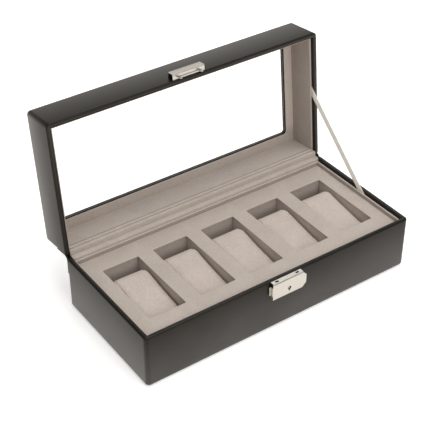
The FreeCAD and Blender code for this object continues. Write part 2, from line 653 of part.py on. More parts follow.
block(lock_cover, "cover_side_wall", (f"-{lock_half} - steel", f"{cover_front} + steel / 4", tab_low),
      ("steel", "tab_setback + steel * 3 / 4", "tab_height"))
block(lock_cover, "cover_tab", (f"-{lock_half} - steel - tab_width", f"{cover_front} + tab_setback", tab_low),
      ("tab_width + steel", "steel", "tab_height"))
block(lock_cover, "cover_seam", (f"-{lock_half} + steel", cover_front, "base_height - steel - seam_gap"),
      ("lock_width - steel", "seam_depth", "seam_gap"), "Subtractive")
for side in (-1, 1):
    block(lock_cover, f"cover_slot_{side + 2}",
          (f"{side} * prong_spacing / 2 - prong_width / 2 - prong_gap",
           f"{slot_y} - prong_thickness / 2 - slot_gap", "base_height - steel"),
          ("prong_width + 2 * prong_gap", "prong_thickness + 2 * slot_gap", "steel"), "Subtractive")
bar_along_y(lock_cover, "keyhole_round", ("keyhole_offset", cover_front, key_z), "keyhole_radius", "steel", "Subtractive")
block(lock_cover, "keyhole_bit", ("keyhole_offset - keyhole_slot / 2", cover_front, f"{key_z} - keyhole_drop"),
      ("keyhole_slot", "steel", "keyhole_drop"), "Subtractive")

# Bolt: a bar with two hooks that slide into the prongs' notches, and a notch for the key.
tip_z = "(base_height + rim_gap + hasp_rise - prong_length)"
bar_low = f"({key_z} + keyhole_radius + bolt_clearance)"
bar_top = f"({bar_low} + bolt_height)"
hook_low = f"({tip_z} + notch_rise + notch_height / 2 - hook_height / 2)"
hook_top = f"({hook_low} + hook_height)"
right_arm = "(prong_spacing / 2 - prong_width / 2 - hook_gap - hook_length)"
left_arm = "(-prong_spacing / 2 - prong_width / 2 - hook_gap - hook_length)"
talon_left = "(keyhole_offset - talon_width / 2)"
talon_right = "(keyhole_offset + talon_width / 2)"
lock_bolt = new_body("lock_bolt")
shape = outline(lock_bolt, "bolt_face", "XZ_Plane", f"-{slot_y} - bolt_thickness / 2", [
    (f"{left_arm} - hook_arm", bar_low),
    (talon_left, bar_low),
    (talon_left, f"{bar_low} + talon_depth"),
    (talon_right, f"{bar_low} + talon_depth"),
    (talon_right, bar_low),
    (right_arm, bar_low),
    (right_arm, hook_low),
    (f"{right_arm} + hook_length", hook_low),
    (f"{right_arm} + hook_length", hook_top),
    (f"{right_arm} - hook_arm", hook_top),
    (f"{right_arm} - hook_arm", bar_top),
    (left_arm, bar_top),
    (left_arm, hook_low),
    (f"{left_arm} + hook_length", hook_low),
    (f"{left_arm} + hook_length", hook_top),
    (f"{left_arm} - hook_arm", hook_top),
])
pad(lock_bolt, "bolt_plate", shape, "bolt_thickness")

# Back plate with two shelves for the bolt, key post, rivets and the leaf spring over the bolt.
plate_front = "(-depth / 2 - steel)"
lock_back_plate = centred_board("lock_back_plate", lock_half, plate_front, lock_low, "steel", "lock_height - steel")
shelf_depth = "(prong_reach + bolt_thickness / 2 - steel)"
for name, corner_x in (("left", f"-{lock_half} + 2 * steel"), ("right", f"{right_arm} - shelf_length / 2")):
    block(lock_back_plate, f"{name}_shelf", (corner_x, f"{plate_front} - {shelf_depth}", f"{bar_low} - shelf_height"),
          ("shelf_length", shelf_depth, "shelf_height"))
lock_key_post = new_body("lock_key_post")
bar_along_y(lock_key_post, "post", ("keyhole_offset", f"{cover_front} + post_recess", key_z), "post_radius",
            "lock_depth - post_recess - steel")
lock_rivets = new_body("lock_rivets")
for side in (-1, 1):
    rivet_x = f"{side} * rivet_spacing / 2"
    rivet_z = f"{lock_low} + rivet_rise"
    bar_along_y(lock_rivets, f"head_{side + 2}", (rivet_x, f"{plate_front} - rivet_head_height", rivet_z), "rivet_head",
                "rivet_head_height")
    bar_along_y(lock_rivets, f"shank_{side + 2}", (rivet_x, plate_front, rivet_z), "rivet_radius",
                "steel + leather + rivet_bite")
    for body, start, reach in ((lock_back_plate, plate_front, "steel"), (base_leather, front_y, "leather"),
                               (base_front_wall, f"-{wall_out_y}", "rivet_bite")):
        bar_along_y(body, f"{body.Label}_hole_{side + 2}", (rivet_x, start, rivet_z), "rivet_radius", reach, "Subtractive")
ceiling = "(base_height - steel)"
belly = f"({bar_top} + spring_gap)"
span = "(spring_span / 2)"
lock_spring = new_body("lock_spring")
leaf = outline(lock_spring, "spring_leaf", "XZ_Plane", f"-{slot_y} - spring_width / 2", [
    (f"-spring_shift - {span} - spring_foot", f"{ceiling} - spring_sheet"),
    (f"-spring_shift - {span}", f"{ceiling} - spring_sheet"),
    ("-spring_shift - spring_belly / 2", belly),
    ("-spring_shift + spring_belly / 2", belly),
    (f"-spring_shift + {span}", f"{ceiling} - spring_sheet"),
    (f"-spring_shift + {span} + spring_foot", f"{ceiling} - spring_sheet"),
    (f"-spring_shift + {span} + spring_foot", ceiling),
    (f"-spring_shift + {span}", ceiling),
    ("-spring_shift + spring_belly / 2", f"{belly} + spring_sheet"),
    ("-spring_shift - spring_belly / 2", f"{belly} + spring_sheet"),
    (f"-spring_shift - {span}", ceiling),
    (f"-spring_shift - {span} - spring_foot", ceiling),
])
pad(lock_spring, "spring_strip", leaf, "spring_width")

# Hasp on the front of the lid: a bent channel, two notched prongs and two tangs into the wall.
hasp_front = "(-depth - hasp_depth)"
hasp_low = f"({lid_rim} + hasp_rise)"
hasp_top = f"({hasp_low} + hasp_height)"
hasp = new_body("hasp", True)
channel = outline(hasp, "hasp_side", "YZ_Plane", "-hasp_width / 2", [
    (hasp_front, hasp_low, "bend_radius"),
    ("-depth", hasp_low),
    ("-depth", f"{hasp_low} + steel"),
    (f"{hasp_front} + steel", f"{hasp_low} + steel"),
    (f"{hasp_front} + steel", f"{hasp_top} - steel"),
    ("-depth", f"{hasp_top} - steel"),
    ("-depth", hasp_top),
    (hasp_front, hasp_top, "bend_radius"),
])
pad(hasp, "hasp_channel", channel, "hasp_width")
for side in (-1, 1):
    prong_left = f"({side} * prong_spacing / 2 - prong_width / 2)"
    prong_y = "(-depth - prong_reach - prong_thickness / 2)"
    prong_low = f"({hasp_low} - prong_length)"
    block(hasp, f"prong_{side + 2}", (prong_left, prong_y, prong_low),
          ("prong_width", "prong_thickness", "prong_length + steel / 2"))
    block(hasp, f"prong_notch_{side + 2}", (prong_left, prong_y, f"{prong_low} + notch_rise"),
          ("notch_depth", "prong_thickness", "notch_height"), "Subtractive")
    tang_left = f"({side} * tang_spacing / 2 - tang_width / 2)"
    tang_z = f"{hasp_top} - steel"
    block(hasp, f"tang_{side + 2}", (tang_left, "-depth", tang_z), ("tang_width", "leather + tang_bite", "steel"))
    block(lid_leather, f"tang_slit_{side + 2}", (tang_left, "-depth", tang_z), ("tang_width", "leather", "steel"),
          "Subtractive")
    block(lid_front_wall, f"tang_socket_{side + 2}", (tang_left, lid_front, tang_z), ("tang_width", "tang_bite", "steel"),
          "Subtractive")

block(hasp, "prong_groove", ("prong_width / 2 - prong_spacing / 2", "(-depth - prong_reach - prong_thickness / 2)", hasp_low),
      ("prong_spacing - prong_width", "prong_thickness", "steel / 2"), "Subtractive")

# Every feature has to be sound before anything is written.
doc.recompute()
failed = [item.Name for item in doc.Objects if "Invalid" in item.State or "Error" in item.State]
unsound = [body.Label for body in nodes if body.Shape.isNull() or not body.Shape.isValid()]
if failed or unsound:
    raise ValueError(f"failed features {failed}, unsound pieces {unsound}")
os.makedirs("parts", exist_ok=True)
for body in nodes:
    body.Shape.exportStep(os.path.join("parts", f"{body.Label}.step"))
    print(body.Label, len(body.Shape.Solids), round(body.Shape.Volume, 1))
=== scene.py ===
# Watch box, stored open: black leather over boards, taupe suede inside, a glass window in the
# lid, loose cushions, a ribbon stay and a nickel lock. Metres, front at -Y, +Z up.
import json
import math
import bmesh
import bpy
import numpy as np
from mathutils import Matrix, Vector


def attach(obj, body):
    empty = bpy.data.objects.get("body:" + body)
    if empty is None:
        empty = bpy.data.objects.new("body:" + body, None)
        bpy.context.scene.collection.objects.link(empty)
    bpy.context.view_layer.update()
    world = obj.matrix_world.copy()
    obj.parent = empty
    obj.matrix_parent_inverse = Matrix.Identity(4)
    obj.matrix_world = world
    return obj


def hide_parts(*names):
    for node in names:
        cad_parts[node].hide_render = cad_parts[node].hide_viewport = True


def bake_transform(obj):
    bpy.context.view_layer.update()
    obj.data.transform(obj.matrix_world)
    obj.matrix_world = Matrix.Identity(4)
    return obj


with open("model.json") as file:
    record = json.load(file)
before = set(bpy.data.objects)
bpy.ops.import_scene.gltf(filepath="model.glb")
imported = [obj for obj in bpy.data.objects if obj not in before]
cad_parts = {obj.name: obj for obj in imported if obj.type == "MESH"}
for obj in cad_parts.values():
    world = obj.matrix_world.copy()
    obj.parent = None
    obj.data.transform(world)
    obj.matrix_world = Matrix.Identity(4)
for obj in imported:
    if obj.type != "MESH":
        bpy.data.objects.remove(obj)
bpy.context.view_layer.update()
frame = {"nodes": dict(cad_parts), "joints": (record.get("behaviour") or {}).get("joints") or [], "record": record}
nodes = frame["nodes"]
print("frame loaded:", len(nodes), "nodes")

mm = 0.001
tiny = 1e-6                   # closer than this is the same place
hingeJoint = next(j for j in frame["joints"] if j["name"] == "lid_hinge")
hingeAt = np.array(hingeJoint["pos_m"])
openAngle = math.radians(-hingeJoint["range_deg"][0])


# closed-lid coordinates, with the hinge line as origin, turned to the lid's place at rest
def toOpenLid(points):
    x, y, z = np.moveaxis(np.asarray(points, float), -1, 0)
    c, s = math.cos(openAngle), math.sin(openAngle)
    return np.stack([x, hingeAt[1] + y * c + z * s, hingeAt[2] - y * s + z * c], -1)


# the way back, for reading sizes off the lid's nodes
def toClosedLid(points):
    x, y, z = np.moveaxis(np.asarray(points, float) - hingeAt, -1, 0)
    c, s = math.cos(openAngle), math.sin(openAngle)
    return np.stack([x, y * c - z * s, y * s + z * c], -1)


# a profile (y, z) on the closed lid, turned to its place at rest
def openProfile(profile):
    return toOpenLid(np.insert(profile, 0, 0.0, axis=1))[:, 1:]


# three numbers for each point or face of a mesh
def vectorsOf(items, what):
    flat = np.empty(len(items) * 3, np.float32)
    items.foreach_get(what, flat)
    return flat.reshape(-1, 3).astype(float)


# each point's place or normal, in the closed lid's coordinates where lid is set
def pointsOf(piece, lid=False, what="co"):
    points = vectorsOf(piece.data.vertices, what)
    if not lid:
        return points
    return toClosedLid(points + (hingeAt if what == "normal" else 0.0))


# lowest and highest corner of a node
def nodeSpan(name, lid=False):
    points = pointsOf(nodes[name], lid)
    return points.min(0), points.max(0)


def movePoints(piece, points):
    piece.data.vertices.foreach_set("co", points.astype(np.float32).ravel())
    piece.data.update()


# a value per point or face, for a material to read by name
def addMask(piece, name, values, domain="POINT"):
    layer = piece.data.attributes.new(name, "FLOAT", domain)
    layer.data.foreach_set("value", np.asarray(values, np.float32).ravel())


def smooth(mesh):
    mesh.polygons.foreach_set("use_smooth", np.ones(len(mesh.polygons), bool))


def addObject(name, data):
    item = bpy.data.objects.new(name, data)
    bpy.context.scene.collection.objects.link(item)
    return item


# a mesh from arrays of points and quads, smooth shaded, with loose points dropped
def meshPiece(name, points, quads, uv=None, mask=None):
    mesh = bpy.data.meshes.new(name)
    used, quads = np.unique(quads, return_inverse=True)
    mesh.from_pydata(points[used].tolist(), [], quads.reshape(-1, 4).tolist())
    if uv is not None:
        layer = mesh.uv_layers.new(name="lay")
        layer.data.foreach_set("uv", uv.astype(np.float32).ravel())
    smooth(mesh)
    mesh.update()
    piece = addObject(name, mesh)
    if mask is not None:
        addMask(piece, "edge", np.ravel(mask)[used])
    return piece


# quads of a grid of rows x columns; wrap joins the last column to the first, keep is a mask
def gridQuads(rows, columns, wrap=False, keep=None, flip=False):
    r = np.arange(rows - 1)[:, None] * columns
    c = np.arange(columns if wrap else columns - 1)[None, :]
    n = (c + 1) % columns
    quads = np.stack([r + c, r + columns + c, r + columns + n, r + n], -1)
    quads = quads[..., ::-1] if flip else quads
    return quads[keep] if keep is not None else quads.reshape(-1, 4)


# each quad corner's place on the sheet: across runs with the columns, along with the rows
def gridUv(along, across, keep=None, flip=False):
    r = np.arange(len(along) - 1)[:, None]
    c = np.arange(len(across) - 1)[None, :]
    corners = [(r, c), (r + 1, c), (r + 1, c + 1), (r, c + 1)]
    uv = np.stack([np.stack([across[k] + 0 * i, along[i] + 0 * k], -1) for i, k in corners], -2)
    uv = uv[..., ::-1, :] if flip else uv
    return uv[keep] if keep is not None else uv.reshape(-1, 4, 2)


# distance along a polyline, from its start
def runLength(points):
    steps = np.linalg.norm(np.diff(points, axis=0), axis=-1)
    return np.concatenate([[0.0], np.cumsum(steps)])


# quarter round of a profile: centre, radius and two angles in degrees give points (inset, height)
def arc(centre, radius, first, last, count=7):
    a = np.radians(np.linspace(first, last, count))
    return np.stack([centre[0] + radius * np.cos(a), centre[1] + radius * np.sin(a)], -1)


def line(start, end, count):
    t = np.linspace(0, 1, count)[:, None]
    return np.asarray(start) * (1 - t) + np.asarray(end) * t


# a profile from its parts, with doubled points at the joins left out
def joined(*parts):
    profile = np.concatenate(parts)
    gap = np.linalg.norm(np.diff(profile, axis=0), axis=-1)
    return profile[np.concatenate([[True], gap > tiny])]


# rings of a rounded rectangle, one for each row, anticlockwise from the front left corner:
# four arcs of the row's radius, joined by straight sides; swell is 0 at corners, 1 mid-side
def roundedRings(halfX, halfY, radius, cornerSteps=8, longSteps=60, shortSteps=30,
                 tuck=0.0027, fullness=0.6):
    hx, hy, r = (np.asarray(a, float)[:, None] for a in (halfX, halfY, radius))
    arcs = []
    for sx, sy, start in ((-1, -1, 180), (1, -1, 270), (1, 1, 0), (-1, 1, 90)):
        a = np.radians(start + np.linspace(0, 90, cornerSteps + 1))[None, :]
        arcs.append(np.stack([sx * (hx - r) + r * np.cos(a), sy * (hy - r) + r * np.sin(a)], -1))
    rings, swell = [], []
    for k, steps in enumerate((longSteps, shortSteps, longSteps, shortSteps)):
        t = np.linspace(0, 1, steps + 1)[1:-1]
        t = np.concatenate([[tuck], t, [1 - tuck]])
        here, there = arcs[k][:, -1:], arcs[(k + 1) % 4][:, :1]
        rings += [arcs[k], here + (there - here) * t[None, :, None]]
        swell += [np.zeros(cornerSteps + 1), np.sin(np.pi * t) ** fullness]
    return np.concatenate(rings, 1), np.concatenate(swell)


# rings (x, y) with a height for each row, as points
def atHeights(rings, height):
    z = np.broadcast_to(height[:, None, None], rings.shape[:2] + (1,))
    return np.concatenate([rings, z], -1)


# marks bends of a squared piece: 0 where the normal follows an axis, 1 halfway between two
def edgesOf(piece, lid=False, halfway=0.293):
    normals = np.abs(pointsOf(piece, lid, "normal"))
    return np.clip((1 - normals.max(-1)) / halfway, 0, 1)


# marks the bends of a suede piece for its painted highlight
def markLitEdges(piece, lid=False):
    addMask(piece, "edge", edgesOf(piece, lid))


# how much each row of a profile is on a bend: the turn between its two neighbours, spread a little
def bendOf(profile, fullTurn=0.3):
    step = np.diff(profile, axis=0)
    angle = np.unwrap(np.arctan2(step[:, 1], step[:, 0]))
    turn = np.zeros(len(profile))
    turn[1:-1] = np.abs(np.diff(angle))
    return np.clip(np.convolve(turn, [0.5, 1, 0.5], "same") / fullTurn, 0, 1)


# gives a sheet its thickness on the side away from its faces
def thicken(piece, thickness):
    solid = piece.modifiers.new("thickness", "SOLIDIFY")
    solid.thickness = thickness
    solid.offset = -1
    solid.use_rim = True
    return piece


# the mesh as its modifiers leave it, with none left on the piece
def settle(piece):
    bpy.context.view_layer.update()
    shaped = piece.evaluated_get(bpy.context.evaluated_depsgraph_get())
    mesh = bpy.data.meshes.new_from_object(shaped)
    piece.modifiers.clear()
    piece.data = mesh
    return piece


# joins points that share a place, and drops what has no area
def merged(piece, distance=tiny):
    work = bmesh.new()
    work.from_mesh(piece.data)
    bmesh.ops.remove_doubles(work, verts=work.verts, dist=distance)
    bmesh.ops.dissolve_degenerate(work, dist=distance, edges=work.edges)
    work.to_mesh(piece.data)
    work.free()
    piece.data.update()
    return piece


# box with rounded edges: each octant of a ball is pushed out to its corner of the core box
def softBox(name, low, high, radius, steps=4, turn=None, mostRound=0.49):
    radius = min(radius, mostRound * (high - low).min())
    core, middle = (high - low) / 2 - radius, (high + low) / 2
    quarter = np.linspace(0, 90, steps + 1)
    around = np.radians(np.concatenate([quarter + 90 * k for k in range(4)]))
    rise = np.radians(np.concatenate([quarter - 90, quarter]))[:, None]
    signX = np.repeat([1, -1, -1, 1], steps + 1)
    signY = np.repeat([1, 1, -1, -1], steps + 1)
    signZ = np.repeat([-1, 1], steps + 1)[:, None]
    ball = np.stack([np.cos(rise) * np.cos(around), np.cos(rise) * np.sin(around),
                     np.sin(rise) + 0 * around], -1)
    side = np.stack(np.broadcast_arrays(signX, signY, signZ), -1)
    points = middle + side * core + radius * ball
    rows, columns = points.shape[:2]
    ends = np.arange(4) * (steps + 1)
    caps = np.stack([ends[::-1], ends + (rows - 1) * columns])
    quads = np.concatenate([gridQuads(rows, columns, wrap=True, flip=True), caps])
    points = points.reshape(-1, 3)
    return merged(meshPiece(name, turn(points) if turn else points, quads))


leatherCut = {
    "thickness": 0.7 * mm,
    "rim": 5.0 * mm,          # outer face to inner face
    "innerRound": 0.9 * mm,
    "outerRound": 1.3 * mm,
    "turnIn": 14.0 * mm,
    "cornerRound": 4.2 * mm,
    "baseInside": 0.25 * mm,  # least corner rounds of the turned-in edges
    "lidInside": 0.3 * mm,
    "footRound": 3.4 * mm,
    "topRound": 3.8 * mm,
    "footTurn": 12.0 * mm,
    "windowRound": 3.0 * mm,
    "glassGap": 0.02 * mm,
    "crown": 0.30 * mm,       # the rim is a little fuller in its middle
    "crownFinish": 0.5,
    "crownFacing": (0.95, 0.995),
    "crownShare": 0.03,       # of the height
    "endFall": 1.8,           # the lid's end walls are rubbed further from the rim
    "cornerTurn": 0.25,       # radians from point to point that count as a whole corner
    "cornerWear": 0.8,
    "bead": 0.25 * mm,        # the window's trim is fuller in its middle
    "trimUp": 0.20 * mm,      # and stops short of the lining's face
    "trimRound": 0.5 * mm,
    "trimPared": 0.05 * mm,
    "topLift": 0.10 * mm,     # the lid's top swells between wall and window
    "puff": 0.28 * mm,        # walls swell a little between their edges
    "ripple": 0.05 * mm,
    "waves": (0.21, 1.3, 5.1, 0.037),
    "wallRow": 40,            # the row whose lap measures the sheet
    "hingeSlack": 0.1 * mm,
}


# the turned rim of a profile (inset, height): along the inside, round the inner bend, over the
# crowned flat and round the outer bend; way is 1 where it looks up and -1 where it looks down
def rimProfile(at, way):
    cut = leatherCut
    rim, ri, ro = cut["rim"], cut["innerRound"], cut["outerRound"]
    inside = line((rim, at - way * cut["turnIn"]), (rim, at - way * ri), 6)
    bendIn = arc((rim - ri, at - way * ri), ri, 0, way * 90)
    flat = line((rim - ri, at), (ro, at), 9)
    flat[:, 1] += way * cut["crown"] * np.sin(np.linspace(0, np.pi, len(flat)))
    bendOut = arc((ro, at - way * ro), ro, way * 90, way * 180)
    return joined(inside, bendIn, flat, bendOut)


# wall swell plus slow ripples, a product of two sines along and up the wall, pushed outwards and
# fading to nothing at the wall's edges
def leatherSwell(rings, swell, rows):
    away = rings - rings.mean(1, keepdims=True)
    reach = np.abs(away)
    farthest = reach.max(1, keepdims=True)
    out = np.where(reach >= farthest - 1e-9, np.sign(np.round(away / farthest, 3)), 0.0)
    along, up = np.arange(rings.shape[1])[None, :], rows[:, None]
    pace, start, rise, slant = leatherCut["waves"]
    ripple = leatherCut["ripple"] * np.sin(along * pace + start) * np.sin(up * rise + along * slant)
    fade = np.sin(np.pi * np.clip(up, 0, 1)) * swell[None, :]
    return rings + out * ((leatherCut["puff"] + ripple) * fade)[..., None]


# bends of the profile, plus the upright corners of the outline
def edgeMask(profile, rings):
    ahead = np.roll(rings, -1, 1) - rings
    angle = np.arctan2(ahead[..., 1], ahead[..., 0])
    turn = np.diff(angle, axis=1, prepend=angle[:, -1:])
    turn = np.abs((turn + np.pi) % (2 * np.pi) - np.pi) / leatherCut["cornerTurn"]
    return np.maximum(bendOf(profile)[:, None], np.clip(turn, 0, leatherCut["cornerWear"]))


# a profile carried round its rings as a sheet, left open where the hinge strips cross the rim;
# side and rear are the outline's half width and rear face
def leatherShell(name, profile, rings, points, onRim, side, rear, flip=False):
    cut = leatherCut
    mid = (rings + np.roll(rings, -1, 1)) / 2
    atHinge = mid[..., 1] > rear - cut["rim"] - cut["hingeSlack"]
    atHinge &= np.abs(mid[..., 0]) < side - cut["rim"]
    keep = ~(atHinge[:-1] & (onRim[:-1] & onRim[1:])[:, None])
    ring = rings[cut["wallRow"]]
    lap = runLength(np.concatenate([ring, ring[:1]]))
    piece = meshPiece(name, points.reshape(-1, 3), gridQuads(*rings.shape[:2], True, keep, flip),
                      gridUv(runLength(profile), lap, keep, flip), edgeMask(profile, rings))
    return thicken(piece, cut["thickness"])


# leather of the base: the profile (inset, height) runs up the turned-in rim, over it, down the
# wall, round the foot and in under the floor, and is carried round the rounded outline
def makeBaseLeather():
    cut = leatherCut
    low, high = nodeSpan("base_leather")
    half, top, foot = high[:2], high[2], low[2]
    rim, ro, rf = cut["rim"], cut["outerRound"], cut["footRound"]
    wall = line((0, top - ro), (0, foot + rf), 26)
    bendFoot = arc((rf, foot + rf), rf, 180, 270, 9)
    under = line((rf, foot), (cut["footTurn"], foot), 4)
    profile = joined(rimProfile(top, 1), wall, bendFoot, under)
    inset, height = profile.T
    radius = np.maximum(cut["cornerRound"] - inset, cut["baseInside"])
    rings, swell = roundedRings(half[0] - inset, half[1] - inset, radius)
    rows = np.where(inset < tiny, (top - ro - height) / (top - ro - foot - rf), 0.0)
    rings = leatherSwell(rings, swell, rows)
    onRim = height > top - ro - tiny
    onRim |= (inset > rim - tiny) & (height > top - cut["turnIn"] - tiny)
    return leatherShell("baseLeather", profile, rings, atHeights(rings, height), onRim, *half)


# leather of the lid: the same way round, then over the top to the window's turned edge
def makeLidLeather():
    cut = leatherCut
    low, high = nodeSpan("lid_leather", lid=True)
    trimLow, trimHigh = nodeSpan("window_trim", lid=True)
    glassTop = nodeSpan("glass_pane", lid=True)[1][2]
    half, centreY = (high - low)[:2] / 2, (high + low)[1] / 2
    rimZ, top = low[2], high[2]
    border = half - ((trimHigh - trimLow)[:2] / 2 - cut["thickness"])
    rim, ro, rt = cut["rim"], cut["outerRound"], cut["topRound"]
    edge = top - glassTop - cut["glassGap"]
    wall = line((0, rimZ + ro), (0, top - rt), 22)
    bendTop = arc((rt, top - rt), rt, 180, 90, 10)
    panel = line((rt, top), (border[0] - edge, top), 8)
    bendWindow = arc((border[0] - edge, top - edge), edge, 90, 0, 6)
    profile = joined(rimProfile(rimZ, -1), wall, bendTop, panel, bendWindow)
    inset, height = profile.T
    share = np.clip((inset - rt) / (border[0] - rt), 0, 1)      # 0 at the wall, 1 at the window
    share[height < top - rt - tiny] = 0.0
    insetY = inset + (border[1] - border[0]) * share
    radius = np.maximum(cut["cornerRound"] - inset, cut["lidInside"])
    radius = radius * (1 - share) + cut["windowRound"] * share
    rings, swell = roundedRings(half[0] - inset, half[1] - insetY, radius)
    rows = np.where(inset < tiny, (height - rimZ - ro) / (top - rt - rimZ - ro), 0.0)
    rings = leatherSwell(rings, swell, rows)
    rings[..., 1] += centreY
    lift = cut["topLift"] * np.sin(np.pi * share) * (share > 0)
    points = toOpenLid(atHeights(rings, height + lift))
    onRim = height < rimZ + ro + tiny
    onRim |= (inset > rim - tiny) & (height < rimZ + cut["turnIn"] + tiny)
    onRim &= share < tiny
    return leatherShell("lidLeather", profile, rings, points, onRim, half[0], high[1], flip=True)


# leather strip that lines the window between pane and lining: a beaded face, then a rounded lower
# edge; its finish is whole along the bead
def makeWindowTrim():
    cut = leatherCut
    low, high = nodeSpan("window_trim", lid=True)
    outer, centreY = (high - low)[:2] / 2, (high + low)[1] / 2
    thickness, r, foot = cut["thickness"], cut["trimRound"], low[2] + cut["trimUp"]
    face = line((thickness, high[2] - cut["glassGap"]), (thickness, foot + r), 9)
    across = np.sin(np.linspace(0, np.pi, len(face)))
    face[:, 0] += cut["bead"] * across
    lower = arc((thickness - r, foot + r), r, 0, -90, 5)
    profile = joined(face, lower)
    inset, height = profile.T
    radius = cut["windowRound"] + thickness - inset
    rings = roundedRings(outer[0] - inset, outer[1] - inset, radius)[0]
    rings[..., 1] += centreY
    piece = meshPiece("windowTrim", toOpenLid(atHeights(rings, height)).reshape(-1, 3),
                      gridQuads(*rings.shape[:2], True, flip=True))
    finish = np.concatenate([across, np.zeros(len(profile) - len(face))])
    addMask(piece, "finish", np.repeat(finish, rings.shape[1]))
    return thicken(piece, thickness - cut["trimPared"])


# how much of the leather's finish is left: rubbed off by hands along the rim's two bends, in part
# left on its crown, and whole at the far edge
def markFinish(piece, node, lid, endFall=1.0):
    cut = leatherCut
    low, high = nodeSpan(node, lid)
    normals = pointsOf(piece, lid, "normal")
    share = (pointsOf(piece, lid)[:, 2] - low[2]) / (high[2] - low[2])
    share = np.clip(share if lid else 1 - share, 0, 1)
    share = share ** (1 + (endFall - 1) * np.abs(normals[:, 0]))
    facing = normals[:, 2] * (-1 if lid else 1)
    first, last = cut["crownFacing"]
    crown = np.clip((facing - first) / (last - first), 0, 1) * (share < cut["crownShare"])
    addMask(piece, "finish", np.clip(share + cut["crownFinish"] * crown, 0, 1))


baseLeather = makeBaseLeather()
lidLeather = makeLidLeather()
windowTrim = makeWindowTrim()
markFinish(baseLeather, "base_leather", False)
markFinish(lidLeather, "lid_leather", True, leatherCut["endFall"])
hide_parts("base_leather")
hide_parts("lid_leather")
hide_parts("window_trim")
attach(baseLeather, "base")
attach(lidLeather, "lid")
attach(windowTrim, "lid")
print("leather shells made")


suedeCut = {
    "boardRound": 0.7 * mm,
    "blockRound": 0.9 * mm,
    "behindRoof": 0.6 * mm,
    "upright": (0.3, 0.8),    # painted shade in full, and none at all: how level a face is
    "lidLay": 0.35,
    "railLay": 0.45,
    "lip": 0.55 * mm,         # rounded edge of the tray's openings
    "underLip": 0.3 * mm,
    "cellRound": 1.2 * mm,
    "cellGap": 0.6 * mm,      # cushion to opening
    "edgeRound": 0.7 * mm,    # outer edge of the tray
    "edgeDrop": 0.7,
    "trayWeld": 4e-6,
    "roofRound": 0.8 * mm,
    "roofCorner": 0.3 * mm,
    "roofBack": 0.02 * mm,    # roof lining to frame board
    "trimGap": 0.1 * mm,      # roof lining to window trim
    "intoWalls": 0.7 * mm,    # the roof's outer edge is hidden in the wall linings
    "roofLay": (0.55, 0.2),   # left and right: painted shade on the strip beside the hinge
    "roofFade": (18.5 * mm, 26.5 * mm),
    "roofOpen": 0.9,          # and painted light beyond that strip
    "roofEdge": 1.65,         # and painted highlight, most of all on its rounded edges
    "hem": 3.2 * mm,          # pressed line along the lid's rear lining, from its lower edge
    "hemWidth": 0.42 * mm,
    "hemDepth": 0.4 * mm,
}


# marks upright suede faces for painted shade, so they look darker than level faces
def markUprightShade(piece, amount=1.0):
    level = np.abs(pointsOf(piece, False, "normal")[:, 2])
    whole, none = suedeCut["upright"]
    addMask(piece, "lay", amount * np.clip((none - level) / (none - whole), 0, 1))


# a line pressed along the lid's rear lining: rows of points are cut in across it, and those on its
# face sink by a Gaussian of their distance from the line and get painted shade
def pressHem(piece, low):
    cut = suedeCut
    at = low[2] + cut["hem"]
    start = Vector(toOpenLid((0, 0, at)))
    up = Vector(toOpenLid((0, 0, 1))) - Vector(toOpenLid((0, 0, 0)))
    work = bmesh.new()
    work.from_mesh(piece.data)
    for step in np.linspace(-2, 2, 9) * cut["hemWidth"]:
        bmesh.ops.bisect_plane(work, geom=work.verts[:] + work.edges[:] + work.faces[:],
                               plane_co=start + up * step, plane_no=up)
    work.to_mesh(piece.data)
    work.free()
    p = pointsOf(piece, True)
    groove = np.exp(-((p[:, 2] - at) / cut["hemWidth"]) ** 2) * (p[:, 1] < low[1] + 10 * tiny)
    p[:, 1] += cut["hemDepth"] * groove
    movePoints(piece, toOpenLid(p))
    addMask(piece, "crease", groove)


# lining boards: every suede-covered card with its edges rounded by the wrap; the lid's walls run on
# behind the roof
def makeLinings():
    made = []
    for name in sorted(nodes):
        if name.endswith("_lining") and name not in ("base_floor_lining", "lid_top_lining"):
            lid = name.startswith("lid_")
            low, high = nodeSpan(name, lid)
            high[2] += suedeCut["behindRoof"] if lid else 0.0
            body, side = name.split("_")[:2]
            piece = softBox(body + side.capitalize() + "Lining", low, high, suedeCut["boardRound"],
                            turn=toOpenLid if lid else None)
            # painted highlight along the board's rounded edges
            markLitEdges(piece, lid)
            if name == "lid_rear_lining":
                pressHem(piece, low)
            elif not lid or side in ("left", "right"):
                # painted shade on upright faces, less of it on the lid's side walls
                markUprightShade(piece, suedeCut["lidLay"] if lid else 1.0)
            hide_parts(name)
            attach(piece, "lid" if lid else "base")
            made.append(piece)
    return made


# covered blocks and rails under the tray: their rounded uprights leave a dark line in each corner
def makeBlocks():
    made = []
    for name in sorted(nodes):
        if name.startswith("tray_block") or name.endswith("_rail"):
            title = "tray" + "".join(part.capitalize() for part in name.split("_")[1:])
            piece = softBox(title, *nodeSpan(name), suedeCut["blockRound"])
            if name.endswith("_rail"):
                # painted shade on the rails' upright faces
                markUprightShade(piece, suedeCut["railLay"])
            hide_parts(name)
            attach(piece, "base")
            made.append(piece)
    return made


